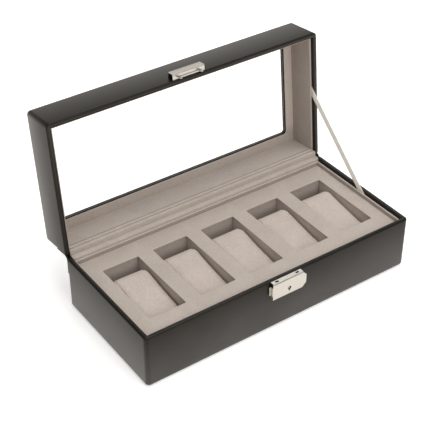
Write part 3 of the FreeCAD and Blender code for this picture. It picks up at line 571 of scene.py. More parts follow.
# roof lining of the lid: a flat ring from the wall linings to the trim, its inner edge rounded
def makeRoofLining():
    cut = suedeCut
    low, high = nodeSpan("lid_top_lining", lid=True)
    trimLow, trimHigh = nodeSpan("window_trim", lid=True)
    outer = (high - low)[:2] / 2 + cut["intoWalls"]
    border = outer - ((trimHigh - trimLow)[:2] / 2 + cut["trimGap"])
    r, corner, back = cut["roofRound"], cut["roofCorner"], high[2] - cut["roofBack"]
    wallEdge = arc((r, low[2] + r), r, 180, 270, 5)
    flat = line((r, low[2]), (border[0] - r, low[2]), 6)
    trimEdge = arc((border[0] - r, low[2] + r), r, -90, 0, 5)
    behind = line((border[0], back), (0, back), 4)
    inset, height = joined(wallEdge, flat, trimEdge, behind, wallEdge[:1]).T
    share = inset / border[0]
    radius = corner + share * (leatherCut["windowRound"] + leatherCut["thickness"] - corner)
    rings = roundedRings(outer[0] - inset, outer[1] - inset * border[1] / border[0], radius)[0]
    rings[..., 1] += (high + low)[1] / 2
    piece = meshPiece("lidRoofLining", toOpenLid(atHeights(rings, height)).reshape(-1, 3),
                      gridQuads(*rings.shape[:2], True))
    merged(piece)
    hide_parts("lid_top_lining")
    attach(piece, "lid")
    return piece


# painted shade along the roof's strip beside the hinge, more on the left, and painted light beyond it and on its
# rounded edge
def paintRoofShading(piece):
    cut = suedeCut
    near, far = cut["roofFade"]
    x, y = pointsOf(piece, True)[:, :2].T
    fade = np.clip((y + far) / (far - near), 0, 1)
    edge = edgesOf(piece, True)
    addMask(piece, "edge", np.maximum(cut["roofEdge"] * edge, cut["roofOpen"] * (1 - fade)))
    lay = np.interp(x, (x.min(), x.max()), cut["roofLay"])
    addMask(piece, "lay", lay * fade * (1 - edge))


# tray: a board whose five openings have rounded, suede-wrapped lips; for each opening a profile
# runs in from its share of the board, over the lip, down and back underneath, and is carried
# round the opening; the shares meet along shared lines and the outer edge is closed by a band
def makeTray():
    cut = suedeCut
    low, high = nodeSpan("tray_top")
    r, under, ease = cut["lip"], cut["underLip"], cut["edgeRound"]
    spans = np.array([nodeSpan(f"watch_cushion_{k}") for k in range(1, 6)])
    places = spans[:, :, 0].mean(1)
    cellX = (spans[0, 1, 0] - spans[0, 0, 0]) / 2 + cut["cellGap"]
    cellY = -spans[0, 0, 1] + cut["cellGap"]
    borders = np.concatenate([[low[0]], (places[1:] + places[:-1]) / 2, [high[0]]])
    # rows count outwards from the opening's edge; the first and last reach the share's border
    lip = joined(line((3 * r, high[2]), (r, high[2]), 3), arc((r, high[2] - r), r, 90, 180, 7),
                 line((0, high[2] - r), (0, low[2] + under), 3),
                 arc((under, low[2] + under), under, 180, 270, 4))
    outset, height = lip.T
    z = np.concatenate([[high[2], high[2]], height, [low[2]]])
    atBorder = np.concatenate([[1, 1], np.zeros(len(lip)), [1]])
    radius = np.concatenate([[tiny, tiny], cut["cellRound"] + outset, [tiny]])
    halfY = np.concatenate([[high[1], high[1] - ease], cellY + outset, [high[1]]])
    points, quads, start = [], [], 0
    for place, left, right in zip(places, borders[:-1], borders[1:]):
        half = (right - left) / 2
        halfX = np.concatenate([[half, half - ease], cellX + outset, [half]])
        rings = roundedRings(halfX, halfY, radius, 6, 12, 24, 0.02)[0]
        rings[..., 0] += (place + atBorder * ((left + right) / 2 - place))[:, None]
        ring = atHeights(rings, z)
        outer = (np.abs(ring[0, :, :2]) > high[:2] - 10 * tiny).any(-1)
        ring[0, outer, 2] -= ease * cut["edgeDrop"]
        points.append(ring.reshape(-1, 3))
        quads.append(gridQuads(*rings.shape[:2], True) + start)
        start += len(points[-1])
    piece = meshPiece("trayBoard", np.concatenate(points), np.concatenate(quads))
    merged(piece, cut["trayWeld"])
    work = bmesh.new()
    work.from_mesh(piece.data)
    bmesh.ops.bridge_loops(work, edges=[e for e in work.edges if e.is_boundary])
    bmesh.ops.recalc_face_normals(work, faces=work.faces)
    work.to_mesh(piece.data)
    work.free()
    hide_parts("tray_top")
    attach(piece, "base")
    return piece


linings = makeLinings()
roofLining = makeRoofLining()
trayBoard = makeTray()
trayBlocks = makeBlocks()
paintRoofShading(roofLining)
# painted highlight along the tray's rounded lips and outer edge
markLitEdges(trayBoard)
print("linings and tray made:", len(linings) + len(trayBlocks) + 2)


hingeCut = {
    "cloth": 0.7 * mm,
    "leather": 0.7 * mm,
    "pared": 0.04 * mm,       # both strips are thinner by this, clear of what they cover
    "turn": 13.0 * mm,
    "clothRound": 1.0 * mm,
    "lidRound": 0.6 * mm,
    "lidRim": 0.4 * mm,
    "pad": 0.22 * mm,         # the cloth swells between its glue lines
    "foldIn": 0.3 * mm,       # the fold starts this far inside the rear walls
    "dip": (0.75 * mm, -0.75 * mm),
    "creases": (0.45, 1.0),   # how much painted shade: the fold, and the foot of the lid's lining
    "creaseWidth": 0.5 * mm,
    "rollFrom": 3.2 * mm,     # the outer roll leaves the base below its rim, and joins the lid above
    "rollTo": 3.6 * mm,
    "roll": ((0.1 * mm, -1.0 * mm), (1.0 * mm, -0.75 * mm)),
    "leatherTurn": 55.0,      # degrees that each end turns in round the box's corner
    "skived": 0.02 * mm,      # thickness left at the ends
    "leatherFinish": 0.35,
    "ribbon": 0.4 * mm,
    "ribbonWidth": 6.0 * mm,
    "ribbonHollow": 0.04 * mm,
    "ribbonTuck": 7.0 * mm,
    "ribbonEase": 0.16,       # a soft band lies a little wider than its stitched ends
}


# a strip across the hinge: its profile (y, z) is carried along X, with its width at each end
def hingeStrip(name, profile, halfWidth, columns, thickness, flip, crease=None, corner=None):
    x = np.linspace(-halfWidth, halfWidth, columns)
    points = np.stack(np.broadcast_arrays(x[None, :], profile[:, :1], profile[:, 1:]), -1)
    if corner:
        # past the start of the box's corner each row turns in round it, by the arc's own length,
        # and is skived from its full thickness to nothing at its end
        start, radius, skive, inward = corner
        angle = np.maximum(np.abs(x) - start, 0) / radius
        share = angle / angle.max()
        reach = radius - skive * share * share * (3 - 2 * share)
        points[..., 0] = np.sign(x) * (np.minimum(np.abs(x), start) + reach * np.sin(angle))
        points[..., 1:] += inward[:, None] * (radius - reach * np.cos(angle))[None, :, None]
    piece = meshPiece(name, points.reshape(-1, 3), gridQuads(len(profile), columns, flip=flip),
                      gridUv(runLength(profile), x, flip=flip))
    if crease is not None:
        addMask(piece, "crease", np.repeat(crease, columns))
    return settle(thicken(piece, thickness))


# suede hinge cloth: up behind the base lining, over the base rim, through the fold and over the
# lid rim, in behind the lid lining
def makeHingeCloth():
    cut = hingeCut
    top, rear = nodeSpan("base_leather")[1][[2, 1]]
    side, inner = nodeSpan("base_rear_lining")[1][:2]
    r, rl, lidRim, rim = cut["clothRound"], cut["lidRound"], cut["lidRim"], rear - inner
    up = line((inner, top - cut["turn"]), (inner, top - r), 5)
    over = arc((inner + r, top - r), r, 180, 90)
    across = line((inner + r, top), (rear - cut["foldIn"], top), 9)
    across[:, 1] += cut["pad"] * np.sin(np.linspace(0, np.pi, len(across)))
    lidAcross = line((-cut["foldIn"], lidRim), (rl - rim, lidRim), 13)
    lidAcross[:, 1] -= cut["pad"] * np.abs(np.sin(np.linspace(0, 2 * np.pi, len(lidAcross))))
    lidOver = arc((rl - rim, lidRim + rl), rl, 270, 180)
    liningFoot = nodeSpan("lid_rear_lining", lid=True)[0][2]
    lidUp = joined(line((-rim, lidRim + rl), (-rim, liningFoot), 12),
                   line((-rim, liningFoot), (-rim, lidRim + cut["turn"]), 9))
    lidPart = openProfile(joined(lidAcross, lidOver, lidUp))
    # the fold is a shallow valley between the two rims: a quadratic curve towards a lower point
    ends = np.stack([across[-1], lidPart[0]])
    dip = ends.mean(0) + cut["dip"]
    t = np.linspace(0, 1, 9)[1:-1, None]
    fold = ends[0] * (1 - t) ** 2 + 2 * dip * t * (1 - t) + ends[1] * t ** 2
    profile = joined(up, over, across, fold, lidPart)
    # painted shade along the fold and along the foot of the lid's lining
    foot = toOpenLid((0, -rim, liningFoot))[1:]
    pressed = np.stack([fold[len(fold) // 2], foot])
    away = np.linalg.norm(profile[:, None] - pressed[None], axis=-1)
    crease = np.max(np.array(cut["creases"]) * np.exp(-(away / cut["creaseWidth"]) ** 2), -1)
    thickness = cut["cloth"] - cut["pared"]
    piece = hingeStrip("hingeCloth", profile, side, 61, thickness, False, crease)
    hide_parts("hinge_cloth")
    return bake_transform(piece)


# leather over the seam outside: flat on both rear walls, with a soft roll where it folds, a cubic
# curve from one to the other
def makeHingeLeather():
    cut = hingeCut
    side, rear, top = nodeSpan("base_leather")[1]
    foot = nodeSpan("hinge_leather")[0][2]
    thickness, out = cut["leather"], rear + cut["leather"]
    up = line((out, foot), (out, top - cut["rollFrom"]), 8)
    lidUp = openProfile(line((thickness, cut["rollTo"]), (thickness, top - foot), 8))
    ends = np.stack([up[-1], lidUp[0]])
    pull = np.array(cut["roll"]) + (out, top)
    t = np.linspace(0, 1, 13)[1:-1, None]
    fold = (ends[0] * (1 - t) ** 3 + 3 * pull[0] * t * (1 - t) ** 2
            + 3 * pull[1] * t ** 2 * (1 - t) + ends[1] * t ** 3)
    profile = joined(up, fold, lidUp)
    # inward is -Y on the base, the same way turned with the lid on the lid, and between in the fold
    t = np.concatenate([np.zeros(len(up)), t[:, 0], np.ones(len(lidUp))])[:, None]
    lidInward = (toOpenLid((0, -1, 0)) - toOpenLid((0, 0, 0)))[1:]
    inward = np.array([-1.0, 0.0]) * (1 - t) + lidInward * t
    inward /= np.linalg.norm(inward, axis=-1, keepdims=True)
    corner = leatherCut["cornerRound"]
    flatTo, radius = side - corner, corner + thickness
    halfWidth = flatTo + radius * math.radians(cut["leatherTurn"])
    piece = hingeStrip("hingeLeather", profile, halfWidth, 241, thickness - cut["pared"], True,
                       corner=(flatTo, radius, thickness - cut["skived"], inward))
    addMask(piece, "finish", np.full(len(piece.data.vertices), cut["leatherFinish"]))
    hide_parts("hinge_leather")
    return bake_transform(piece)


# ribbon: a flat band from its tuck behind the base lining, taut to its tuck behind the lid lining
def makeRibbon():
    cut = hingeCut
    foot, head = pointsOf(nodes["stay_ribbon"]), pointsOf(nodes["stay_ribbon"], lid=True)
    side = foot[:, 0].max()
    foot = foot[foot[:, 2] < foot[:, 2].min() + 10 * tiny, 1:]
    head = head[head[:, 2] > head[:, 2].max() - 10 * tiny, 1:]
    # each end as its two corners (y, z)
    baseEnd, lidEnd = (np.stack([(end[:, 0].min(), end[:, 0].max()), np.full(2, end[:, 1].mean())], -1)
                       for end in (foot, head))
    lidEnd = openProfile(lidEnd)
    for end in (baseEnd, lidEnd):
        end += (end - end.mean(0)) * cut["ribbonEase"]
    along = lidEnd - baseEnd
    along *= cut["ribbonTuck"] / np.linalg.norm(along, axis=-1, keepdims=True)
    first, last = baseEnd - along, lidEnd + along
    t = np.linspace(0, 1, 90)[:, None, None]
    s = np.linspace(0, 1, 9)[None, :, None]
    edge = first[None] * (1 - t) + last[None] * t
    band = edge[:, :1] * (1 - s) + edge[:, 1:] * s
    x = side - cut["ribbonHollow"] * (1 - np.abs(2 * s - 1)) + 0 * t
    points = np.concatenate([x, band], -1)
    run = t[:, 0, 0] * np.linalg.norm(last - first, axis=-1).mean()
    piece = meshPiece("stayRibbon", points.reshape(-1, 3), gridQuads(*band.shape[:2], flip=True),
                      gridUv(run, s[0, :, 0] * cut["ribbonWidth"], flip=True))
    settle(thicken(piece, cut["ribbon"]))
    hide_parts("stay_ribbon")
    start, end = Vector((side, *baseEnd.mean(0))), Vector((side, *lidEnd.mean(0)))
    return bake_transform(piece)


hingeCloth = makeHingeCloth()
hingeLeather = makeHingeLeather()
stayRibbon = makeRibbon()
print("hinge strips and ribbon made")


cushionCut = {
    "frontDrop": 11.6 * mm,   # top of the cushion below the tray's face
    "rearDrop": 0.7 * mm,
    "shrink": 0.9 * mm,       # the cover starts smaller than the cushion and swells to it
    "voxel": 1.2 * mm,
    "pressure": 2.2,
    "quality": 6,
    "frames": 20,
    "cap": 1.0 * mm,
    "room": 0.25 * mm,        # how far it may pass the solid
    "roll": 11.0 * mm,
    "nose": 5.0 * mm,
    "sideRound": 3.4 * mm,
    "foot": 1.5 * mm,
    "seamIn": 2.6 * mm,
    "seamDepth": 0.55 * mm,
    "seamWidth": 0.62 * mm,
    "seamFace": 0.75,         # no seam on faces that look more to the side than this
    "wander": (0.15 * mm, 90, 70),
    "pucker": 0.25,
    "stitch": 3.2 * mm,
    "dimple": (0.18 * mm, 130, 75, 2.1),
    "dimpleFace": 0.2,
    "seedStep": 1.7,
}


# a polygon with each corner rounded by its own radius
def roundedPolygon(corners, rounds, count=12):
    back, ahead = np.roll(corners, 1, 0) - corners, np.roll(corners, -1, 0) - corners
    back /= np.linalg.norm(back, axis=-1, keepdims=True)
    ahead /= np.linalg.norm(ahead, axis=-1, keepdims=True)
    half = (np.arccos((back * ahead).sum(-1)) / 2)[:, None]
    rounds = rounds[:, None]
    inward = back + ahead
    inward /= np.linalg.norm(inward, axis=-1, keepdims=True)
    centres = corners + inward * (rounds / np.sin(half))
    a = corners + back * rounds / np.tan(half) - centres
    b = corners + ahead * rounds / np.tan(half) - centres
    first, last = np.arctan2(a[:, 1], a[:, 0]), np.arctan2(b[:, 1], b[:, 0])
    last = np.where(last < first, last + 2 * np.pi, last)
    angle = np.linspace(first, last, count, axis=1)
    around = np.stack([np.cos(angle), np.sin(angle)], -1)
    return (centres[:, None] + rounds[:, None] * around).reshape(-1, 2)


# the sewn cover before it is filled: a section (y, z) with a level foot, a rolled rear and a top
# that slopes to a rounded front, carried along X and drawn in round both sides
def cushionCover(name, low, high, slope):
    cut = cushionCut
    s, r = cut["shrink"], cut["sideRound"]
    front, rear, foot = low[1] + s, high[1] - s, low[2]
    frontTop, rearTop = slope[0] - s, slope[1] - s
    corners = np.array([[front, foot], [rear, foot], [rear, rearTop], [front, frontTop]])
    rounds = np.array([cut["foot"], cut["foot"], cut["roll"], cut["nose"]])
    section = roundedPolygon(corners, rounds)
    centre = np.array([(front + rear) / 2, (foot + (frontTop + rearTop) / 2) / 2])
    width = (high[0] - low[0]) / 2 - s
    turn = np.radians(np.linspace(0, 90, 8))
    stations = np.concatenate([-(width - r) - r * np.cos(turn), (width - r) + r * np.cos(turn[::-1])])
    stations += (low[0] + high[0]) / 2
    pull = np.concatenate([r * (1 - np.sin(turn)), r * (1 - np.sin(turn[::-1]))])
    away = section - centre
    reach = np.linalg.norm(away, axis=-1, keepdims=True)
    sections = section[None] - away[None] / reach[None] * pull[:, None, None]
    sections[..., 1] = np.maximum(sections[..., 1], foot)
    rows, columns = sections.shape[:2]
    x = np.broadcast_to(stations[:, None, None], (rows, columns, 1))
    points = np.concatenate([x, sections], -1).reshape(-1, 3)
    ends = np.stack([np.r_[stations[0], centre], np.r_[stations[-1], centre]])
    # each end is closed by a fan round its middle
    c = np.arange(columns)
    n, lastRow, middle = (c + 1) % columns, (rows - 1) * columns, np.full(columns, rows * columns)
    fans = np.concatenate([np.stack([middle, n, c], -1),
                           np.stack([middle + 1, c + lastRow, n + lastRow], -1)])
    mesh = bpy.data.meshes.new(name)
    mesh.from_pydata(np.concatenate([points, ends]).tolist(), [],
                     gridQuads(rows, columns, True, flip=True).tolist() + fans.tolist())
    mesh.update()
    return addObject(name, mesh)


# voxel remesh, then cloth with air pressure inside; no point moves further than the cap, and
# none goes below the floor it stands on
def fillCushion(piece, floorZ, low, high):
    cut = cushionCut
    remesh = piece.modifiers.new("voxels", "REMESH")
    remesh.mode = "VOXEL"
    remesh.voxel_size = cut["voxel"]
    settle(piece)
    before = pointsOf(piece)
    cloth = piece.modifiers.new("cover", "CLOTH")
    cloth.settings.use_pressure = True
    cloth.settings.uniform_pressure_force = cut["pressure"]
    cloth.settings.effector_weights.gravity = 0
    cloth.settings.quality = cut["quality"]
    cloth.collision_settings.use_self_collision = False
    cloth.point_cache.frame_start = 1
    cloth.point_cache.frame_end = cut["frames"]
    for step in range(1, cut["frames"] + 1):
        bpy.context.scene.frame_set(step)
    after = pointsOf(piece.evaluated_get(bpy.context.evaluated_depsgraph_get()))
    piece.modifiers.clear()
    bpy.context.scene.frame_set(1)
    move = after - before
    size = np.linalg.norm(move, axis=-1, keepdims=True)
    move = move / np.maximum(size, 1e-9) * np.minimum(size, cut["cap"])
    shape = np.clip(before + move, low, high)
    shape[:, 2] = np.maximum(shape[:, 2], floorZ)
    movePoints(piece, shape)
    fine = piece.modifiers.new("fine", "SUBSURF")
    fine.levels = fine.render_levels = 1
    return settle(piece)


# a sewn seam near each side: the surface dips along a line parallel to the side, by a Gaussian,
# deeper at each stitch; the top has slow dimples, a product of two sines
def sewSeams(piece, low, high, seed):
    cut = cushionCut
    p, n = pointsOf(piece), pointsOf(piece, what="normal")
    x, y, z = p.T
    stray, strayY, strayZ = cut["wander"]
    fromLine = np.minimum(x - low[0], high[0] - x) - cut["seamIn"]
    fromLine -= stray * np.sin(y * strayY + z * strayZ + seed)
    dip = cut["seamDepth"] * np.exp(-(fromLine / cut["seamWidth"]) ** 2)
    dip *= 1 + cut["pucker"] * np.sin((y + z) * 2 * np.pi / cut["stitch"] + seed)
    dip *= np.abs(n[:, 0]) < cut["seamFace"]
    depth, paceX, paceY, shift = cut["dimple"]
    soft = depth * np.sin(x * paceX + seed) * np.sin(y * paceY + shift * seed)
    p = p - n * (dip - soft * (n[:, 2] > cut["dimpleFace"]))[:, None]
    p[:, 2] = np.maximum(p[:, 2], low[2])
    movePoints(piece, p)
    smooth(piece.data)
    return piece


def makeCushions():
    cut = cushionCut
    made = []
    trayZ = nodeSpan("tray_top")[1][2]
    slope, room = (trayZ - cut["frontDrop"], trayZ - cut["rearDrop"]), cut["room"]
    for k in range(1, 6):
        low, high = nodeSpan(f"watch_cushion_{k}")
        piece = cushionCover(f"watchCushion{k}", low, high, slope)
        fillCushion(piece, low[2], low - [room, room, 0], high + room)
        sewSeams(piece, low, high, cut["seedStep"] * k)
        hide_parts(f"watch_cushion_{k}")
        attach(piece, f"cushion_{k}")
        made.append(piece)
    return made


cushions = makeCushions()
print("cushions filled:", [len(c.data.vertices) for c in cushions])


metalCut = {
    "edge": 0.16 * mm,
    "segments": 2,
    "flat": 0.6,              # degrees: faces that turn less are one
    "sharp": 30,              # degrees: edges that turn more are eased
    # the folded bodies alone, and how deep inside them the faces get painted shade
    "cover": ((-17.6 * mm, -75.0 * mm, 39.3 * mm), (17.6 * mm, -70.5 * mm, 58.5 * mm)),
    "hasp": ((-18.3 * mm, -147.0 * mm, 2.1 * mm), (18.3 * mm, -141.0 * mm, 10.7 * mm)),
    "skin": 0.32 * mm,
    "groove": (0.9 * mm, 0.75),     # the hasp's groove is shallow, and gets lighter painted shade
    "polish": {"lock_cover": (0.26, 1.0), "hasp": (0.08, 0.08)},    # painted light: its share at large, and on faces that look up
    "upward": 0.7,
}


# a crisp metal piece: the node's own shape with its points joined and its edges eased, and with
# its hollow side, slots and seams marked for painted shade, and its faces marked for painted light
def easedMetal(name, node, body, folded):
    cut = metalCut
    mesh = nodes[node].data.copy()
    mesh.name = name
    mesh.materials.clear()
    work = bmesh.new()
    work.from_mesh(mesh)
    bmesh.ops.remove_doubles(work, verts=work.verts, dist=tiny)
    bmesh.ops.dissolve_limit(work, angle_limit=math.radians(cut["flat"]),
                             verts=work.verts, edges=work.edges)
    work.to_mesh(mesh)
    work.free()
    if "custom_normal" in mesh.attributes:
        mesh.attributes.remove(mesh.attributes["custom_normal"])
    smooth(mesh)
    piece = addObject(name, mesh)
    centres, normals = vectorsOf(mesh.polygons, "center"), vectorsOf(mesh.polygons, "normal")
    centres = toClosedLid(centres) if body == "lid" else centres
    low, high = np.array(folded)
    # faces well inside the folded body get painted shade
    bare = ((centres > low + cut["skin"]) & (centres < high - cut["skin"])).all(-1)
    depth, share = cut["groove"]
    inGroove = (body == "lid") & (centres[:, 2] < low[2] + depth)
    addMask(piece, "inner", bare * np.where(inGroove, share, 1.0), "FACE")
    # painted light, most of it on faces that look up
    atLarge, onTop = cut["polish"][node]
    addMask(piece, "polish", np.where(normals[:, 2] > cut["upward"], onTop, atLarge), "FACE")
    ease = piece.modifiers.new("ease", "BEVEL")
    ease.width = cut["edge"]
    ease.segments = cut["segments"]
    ease.limit_method = "ANGLE"
    ease.angle_limit = math.radians(cut["sharp"])
    ease.harden_normals = True
    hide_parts(node)
    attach(piece, body)
    return piece


lockCover = easedMetal("lockCover", "lock_cover", "base", metalCut["cover"])
haspPlate = easedMetal("haspPlate", "hasp", "lid", metalCut["hasp"])
print("lock and hasp eased")


# sockets by name or number: an output is linked, anything else becomes the socket's own value
def feed(tree, node, values):
    for key, value in values.items():
        if isinstance(value, bpy.types.NodeSocket):
            tree.links.new(value, node.inputs[key])
        else:
            node.inputs[key].default_value = value
    return node


# a new node, with values for its sockets or else for its own settings
def add(tree, kind, **values):
    node = tree.nodes.new(kind)
    for key, value in values.items():
        if key in node.inputs:
            feed(tree, node, {key: value})
        else:
            setattr(node, key, value)
    return node


def nodeTree(name):
    material = bpy.data.materials.new(name)
    material.use_nodes = True
    material.node_tree.nodes.clear()
    return material, material.node_tree


def groupTree(name, inputs, outputs):
    group = bpy.data.node_groups.new(name, "ShaderNodeTree")
    for label, value in inputs.items():
        kind = "NodeSocketVector" if value is None else "NodeSocketFloat"
        socket = group.interface.new_socket(label, in_out="INPUT", socket_type=kind)
        if value is not None:
            socket.default_value = value
    for label in outputs:
        group.interface.new_socket(label, in_out="OUTPUT", socket_type="NodeSocketFloat")
    given = group.nodes.new("NodeGroupInput").outputs
    return group, given, group.nodes.new("NodeGroupOutput")


def place(tree, group, **values):
    node = tree.nodes.new("ShaderNodeGroup")
    node.node_tree = group
    return feed(tree, node, values).outputs


def maths(tree, operation, a, b=None, clamp=False):
    node = add(tree, "ShaderNodeMath", operation=operation, use_clamp=clamp)
    return feed(tree, node, {0: a} if b is None else {0: a, 1: b}).outputs[0]


# a sum of two values, each by its share
def weighted(tree, a, shareA, b, shareB):
    return maths(tree, "ADD", maths(tree, "MULTIPLY", a, shareA), maths(tree, "MULTIPLY", b, shareB))


def colourMix(tree, factor, a, b, blend="MIX"):
    node = add(tree, "ShaderNodeMix", data_type="RGBA", blend_type=blend)
    return feed(tree, node, {0: factor, 6: a, 7: b}).outputs[2]


def rangeOf(tree, value, fromLow, fromHigh, toLow, toHigh):
    limits = {"From Min": fromLow, "From Max": fromHigh, "To Min": toLow, "To Max": toHigh}
    node = feed(tree, tree.nodes.new("ShaderNodeMapRange"), {"Value": value, **limits})
    return node.outputs["Result"]


def noise(tree, at, scale, detail, **values):
    node = add(tree, "ShaderNodeTexNoise", Vector=at, Scale=scale, Detail=detail, **values)
    return node.outputs["Fac"]


def objectPlace(tree):
    return add(tree, "ShaderNodeTexCoord").outputs["Object"]


def maskOf(tree, name):
    return add(tree, "ShaderNodeAttribute", attribute_name=name).outputs["Fac"]


def bumpOf(tree, height, strength, distance):
    node = add(tree, "ShaderNodeBump", Strength=strength, Distance=distance, Height=height)
    return node.outputs["Normal"]


def toOutput(tree, shader, kind="ShaderNodeOutputMaterial"):
    tree.links.new(shader.outputs[0], tree.nodes.new(kind).inputs["Surface"])


# one principled shader with these sockets, on the material's surface
def dress(tree, sockets):
    toOutput(tree, feed(tree, tree.nodes.new("ShaderNodeBsdfPrincipled"), sockets))


# leather grain: pebbles from smooth cells, finer pores, and slow patches of tone
def makeGrainGroup():
    group, given, out = groupTree("leatherGrain", {"Vector": None, "Size": 900.0}, ("Height", "Tone"))
    at = given["Vector"]
    warp = add(group, "ShaderNodeTexNoise", Vector=at, Scale=260.0, Detail=3.0)
    bend = add(group, "ShaderNodeVectorMath", operation="SCALE", Scale=0.0007)
    feed(group, bend, {0: warp.outputs["Color"]})
    shifted = add(group, "ShaderNodeVectorMath", operation="ADD")
    feed(group, shifted, {0: at, 1: bend.outputs[0]})
    pebble = add(group, "ShaderNodeTexVoronoi", feature="SMOOTH_F1", Smoothness=0.35,
                 Vector=shifted.outputs[0], Scale=given["Size"])
    dome = maths(group, "SUBTRACT", 1.0, pebble.outputs["Distance"])
    pores = noise(group, at, 4200.0, 2.0, Roughness=0.6)
    patch = noise(group, at, 26.0, 4.0, Roughness=0.55)
    feed(group, out, {"Height": weighted(group, dome, 0.8, pores, 0.25), "Tone": patch})
    return group


# suede nap: short tangled fibres, and brushed patches where the nap lies another way
def makeNapGroup():
    group, given, out = groupTree("suedeNap", {"Vector": None}, ("Height", "Tone", "Speck"))
    at = given["Vector"]
    fibre = noise(group, at, 2600.0, 4.0, Roughness=0.7, Distortion=0.6)
    clump = noise(group, at, 620.0, 3.0, Roughness=0.65)
    brush = noise(group, at, 38.0, 5.0, Roughness=0.58, Distortion=0.8)
    feed(group, out, {"Height": weighted(group, fibre, 0.7, clump, 0.5),
                      "Tone": weighted(group, brush, 0.7, clump, 0.3),
                      "Speck": weighted(group, fibre, 0.5, clump, 0.5)})
    return group


# rubbed edges: the bend of the piece, broken up by a slow and a fine noise
def makeWearGroup():
    group, given, out = groupTree("edgeWear", {"Vector": None, "Edge": 0.0, "Amount": 0.5}, ("Mask",))
    slow = noise(group, given["Vector"], 70.0, 3.0)
    fine = noise(group, given["Vector"], 900.0, 3.0)
    broken = rangeOf(group, weighted(group, slow, 0.8, fine, 0.5), 0.5, 0.85, 0.15, 1.0)
    rubbed = maths(group, "MULTIPLY", given["Edge"], broken, True)
    feed(group, out, {"Mask": maths(group, "MULTIPLY", rubbed, given["Amount"])})
    return group


grainGroup = makeGrainGroup()
wearGroup = makeWearGroup()
napGroup = makeNapGroup()


leatherLook = {
    "dark": (0.0065, 0.0056, 0.0046, 1),
    "light": (0.0125, 0.0110, 0.0092, 1),
    "worn": (0.024, 0.0212, 0.0180, 1),
    "tone": (0.3, 0.7),
    "grain": 1000.0,
    "rub": 0.30,
    "rubPolish": 0.08,
    "coat": 0.95,
    "patchy": (0.9, 1.1),
    "rough": (0.33, 0.43),
    "bump": (0.12, 0.2 * mm),
}


def leatherMaterial():
    look = leatherLook
    material, tree = nodeTree("blackLeather")
    at = objectPlace(tree)
    grain = place(tree, grainGroup, Vector=at, Size=look["grain"])
    rub = place(tree, wearGroup, Vector=at, Edge=maskOf(tree, "edge"), Amount=look["rub"])["Mask"]
    tone = rangeOf(tree, grain["Tone"], *look["tone"], 0.0, 1.0)
    hide = colourMix(tree, tone, look["dark"], look["light"])
    rough = rangeOf(tree, grain["Tone"], *look["tone"], *look["rough"])
    patchy = rangeOf(tree, grain["Tone"], *look["tone"], *look["patchy"])
    left = maths(tree, "MULTIPLY", maskOf(tree, "finish"), patchy)
    normal = bumpOf(tree, grain["Height"], *look["bump"])
    polished = maths(tree, "MULTIPLY", rub, look["rubPolish"])
    dress(tree, {
        "Base Color": colourMix(tree, rub, hide, look["worn"]),
        "Roughness": maths(tree, "SUBTRACT", rough, polished),
        "Specular IOR Level": 0.16,
        "Specular Tint": (1.0, 0.92, 0.80, 1),
        "Coat Weight": maths(tree, "MULTIPLY", left, look["coat"], True),
        "Coat Roughness": 0.36,
        "Coat IOR": 1.5,
        "Coat Normal": normal,
        "Normal": normal,
    })
    return material


suedeLook = {
    "tray": {"dark": (0.450, 0.388, 0.342, 1), "light": (0.500, 0.436, 0.387, 1)},
    "cushion": {"dark": (0.512, 0.437, 0.389, 1), "light": (0.568, 0.491, 0.438, 1)},
    "tone": (0.36, 0.64),
    "speck": (0.35, 0.65, 0.88, 1.10),
    "open": (0.66, 0.585, 0.525, 1),      # painted highlight: the boards' rounded edges are lighter where light catches them
    "edge": 0.6,
    # painted shade on upright faces and on the roof's strip beside the hinge
    "brushed": (0.350, 0.292, 0.258, 1),
    "pressed": (0.170, 0.138, 0.120, 1),  # painted shade along creases
    "bump": (0.35, 0.3 * mm),
}


def suedeMaterial(name, tones):
    look = suedeLook
    material, tree = nodeTree(name)
    nap = place(tree, napGroup, Vector=objectPlace(tree))
    tone = rangeOf(tree, nap["Tone"], *look["tone"], 0.0, 1.0)
    speck = rangeOf(tree, nap["Speck"], *look["speck"])
    shade = feed(tree, tree.nodes.new("ShaderNodeCombineColor"), {0: speck, 1: speck, 2: speck})
    colour = colourMix(tree, tone, tones["dark"], tones["light"])
    # painted highlight on rounded edges, and painted light on the roof beyond its strip by the hinge
    edge = maths(tree, "MULTIPLY", maskOf(tree, "edge"), look["edge"])
    colour = colourMix(tree, edge, colour, look["open"])
    # painted shade on upright faces and beside the hinge
    colour = colourMix(tree, maskOf(tree, "lay"), colour, look["brushed"])
    # painted shade along the creases
    colour = colourMix(tree, maskOf(tree, "crease"), colour, look["pressed"])
    dress(tree, {
        "Base Color": colourMix(tree, 1.0, colour, shade.outputs[0], "MULTIPLY"),
        "Roughness": 0.95,
        "Specular IOR Level": 0.12,
        "Sheen Weight": 0.18,
        "Sheen Roughness": 0.5,
        "Sheen Tint": (0.95, 0.88, 0.82, 1),
        "Normal": bumpOf(tree, nap["Height"], *look["bump"]),
    })
    return material


nickelLook = {
    # the plate, and a lighter copy of it for painted light
    "dull": ((0.424, 0.405, 0.374, 1), (0.479, 0.459, 0.428, 1)),
    "bright": ((0.735, 0.701, 0.641, 1), (0.829, 0.797, 0.735, 1)),
    # painted shade, near black, in the hollows, slots and seams
    "bare": (0.018, 0.016, 0.014, 1),
    "bareRough": 0.7,
    "rough": (0.3, 0.7, 0.28, 0.38),
    "brush": (60.0, 2600.0, 2600.0),
    "smudge": 160.0,
    "bump": (0.04, 0.05 * mm),
}
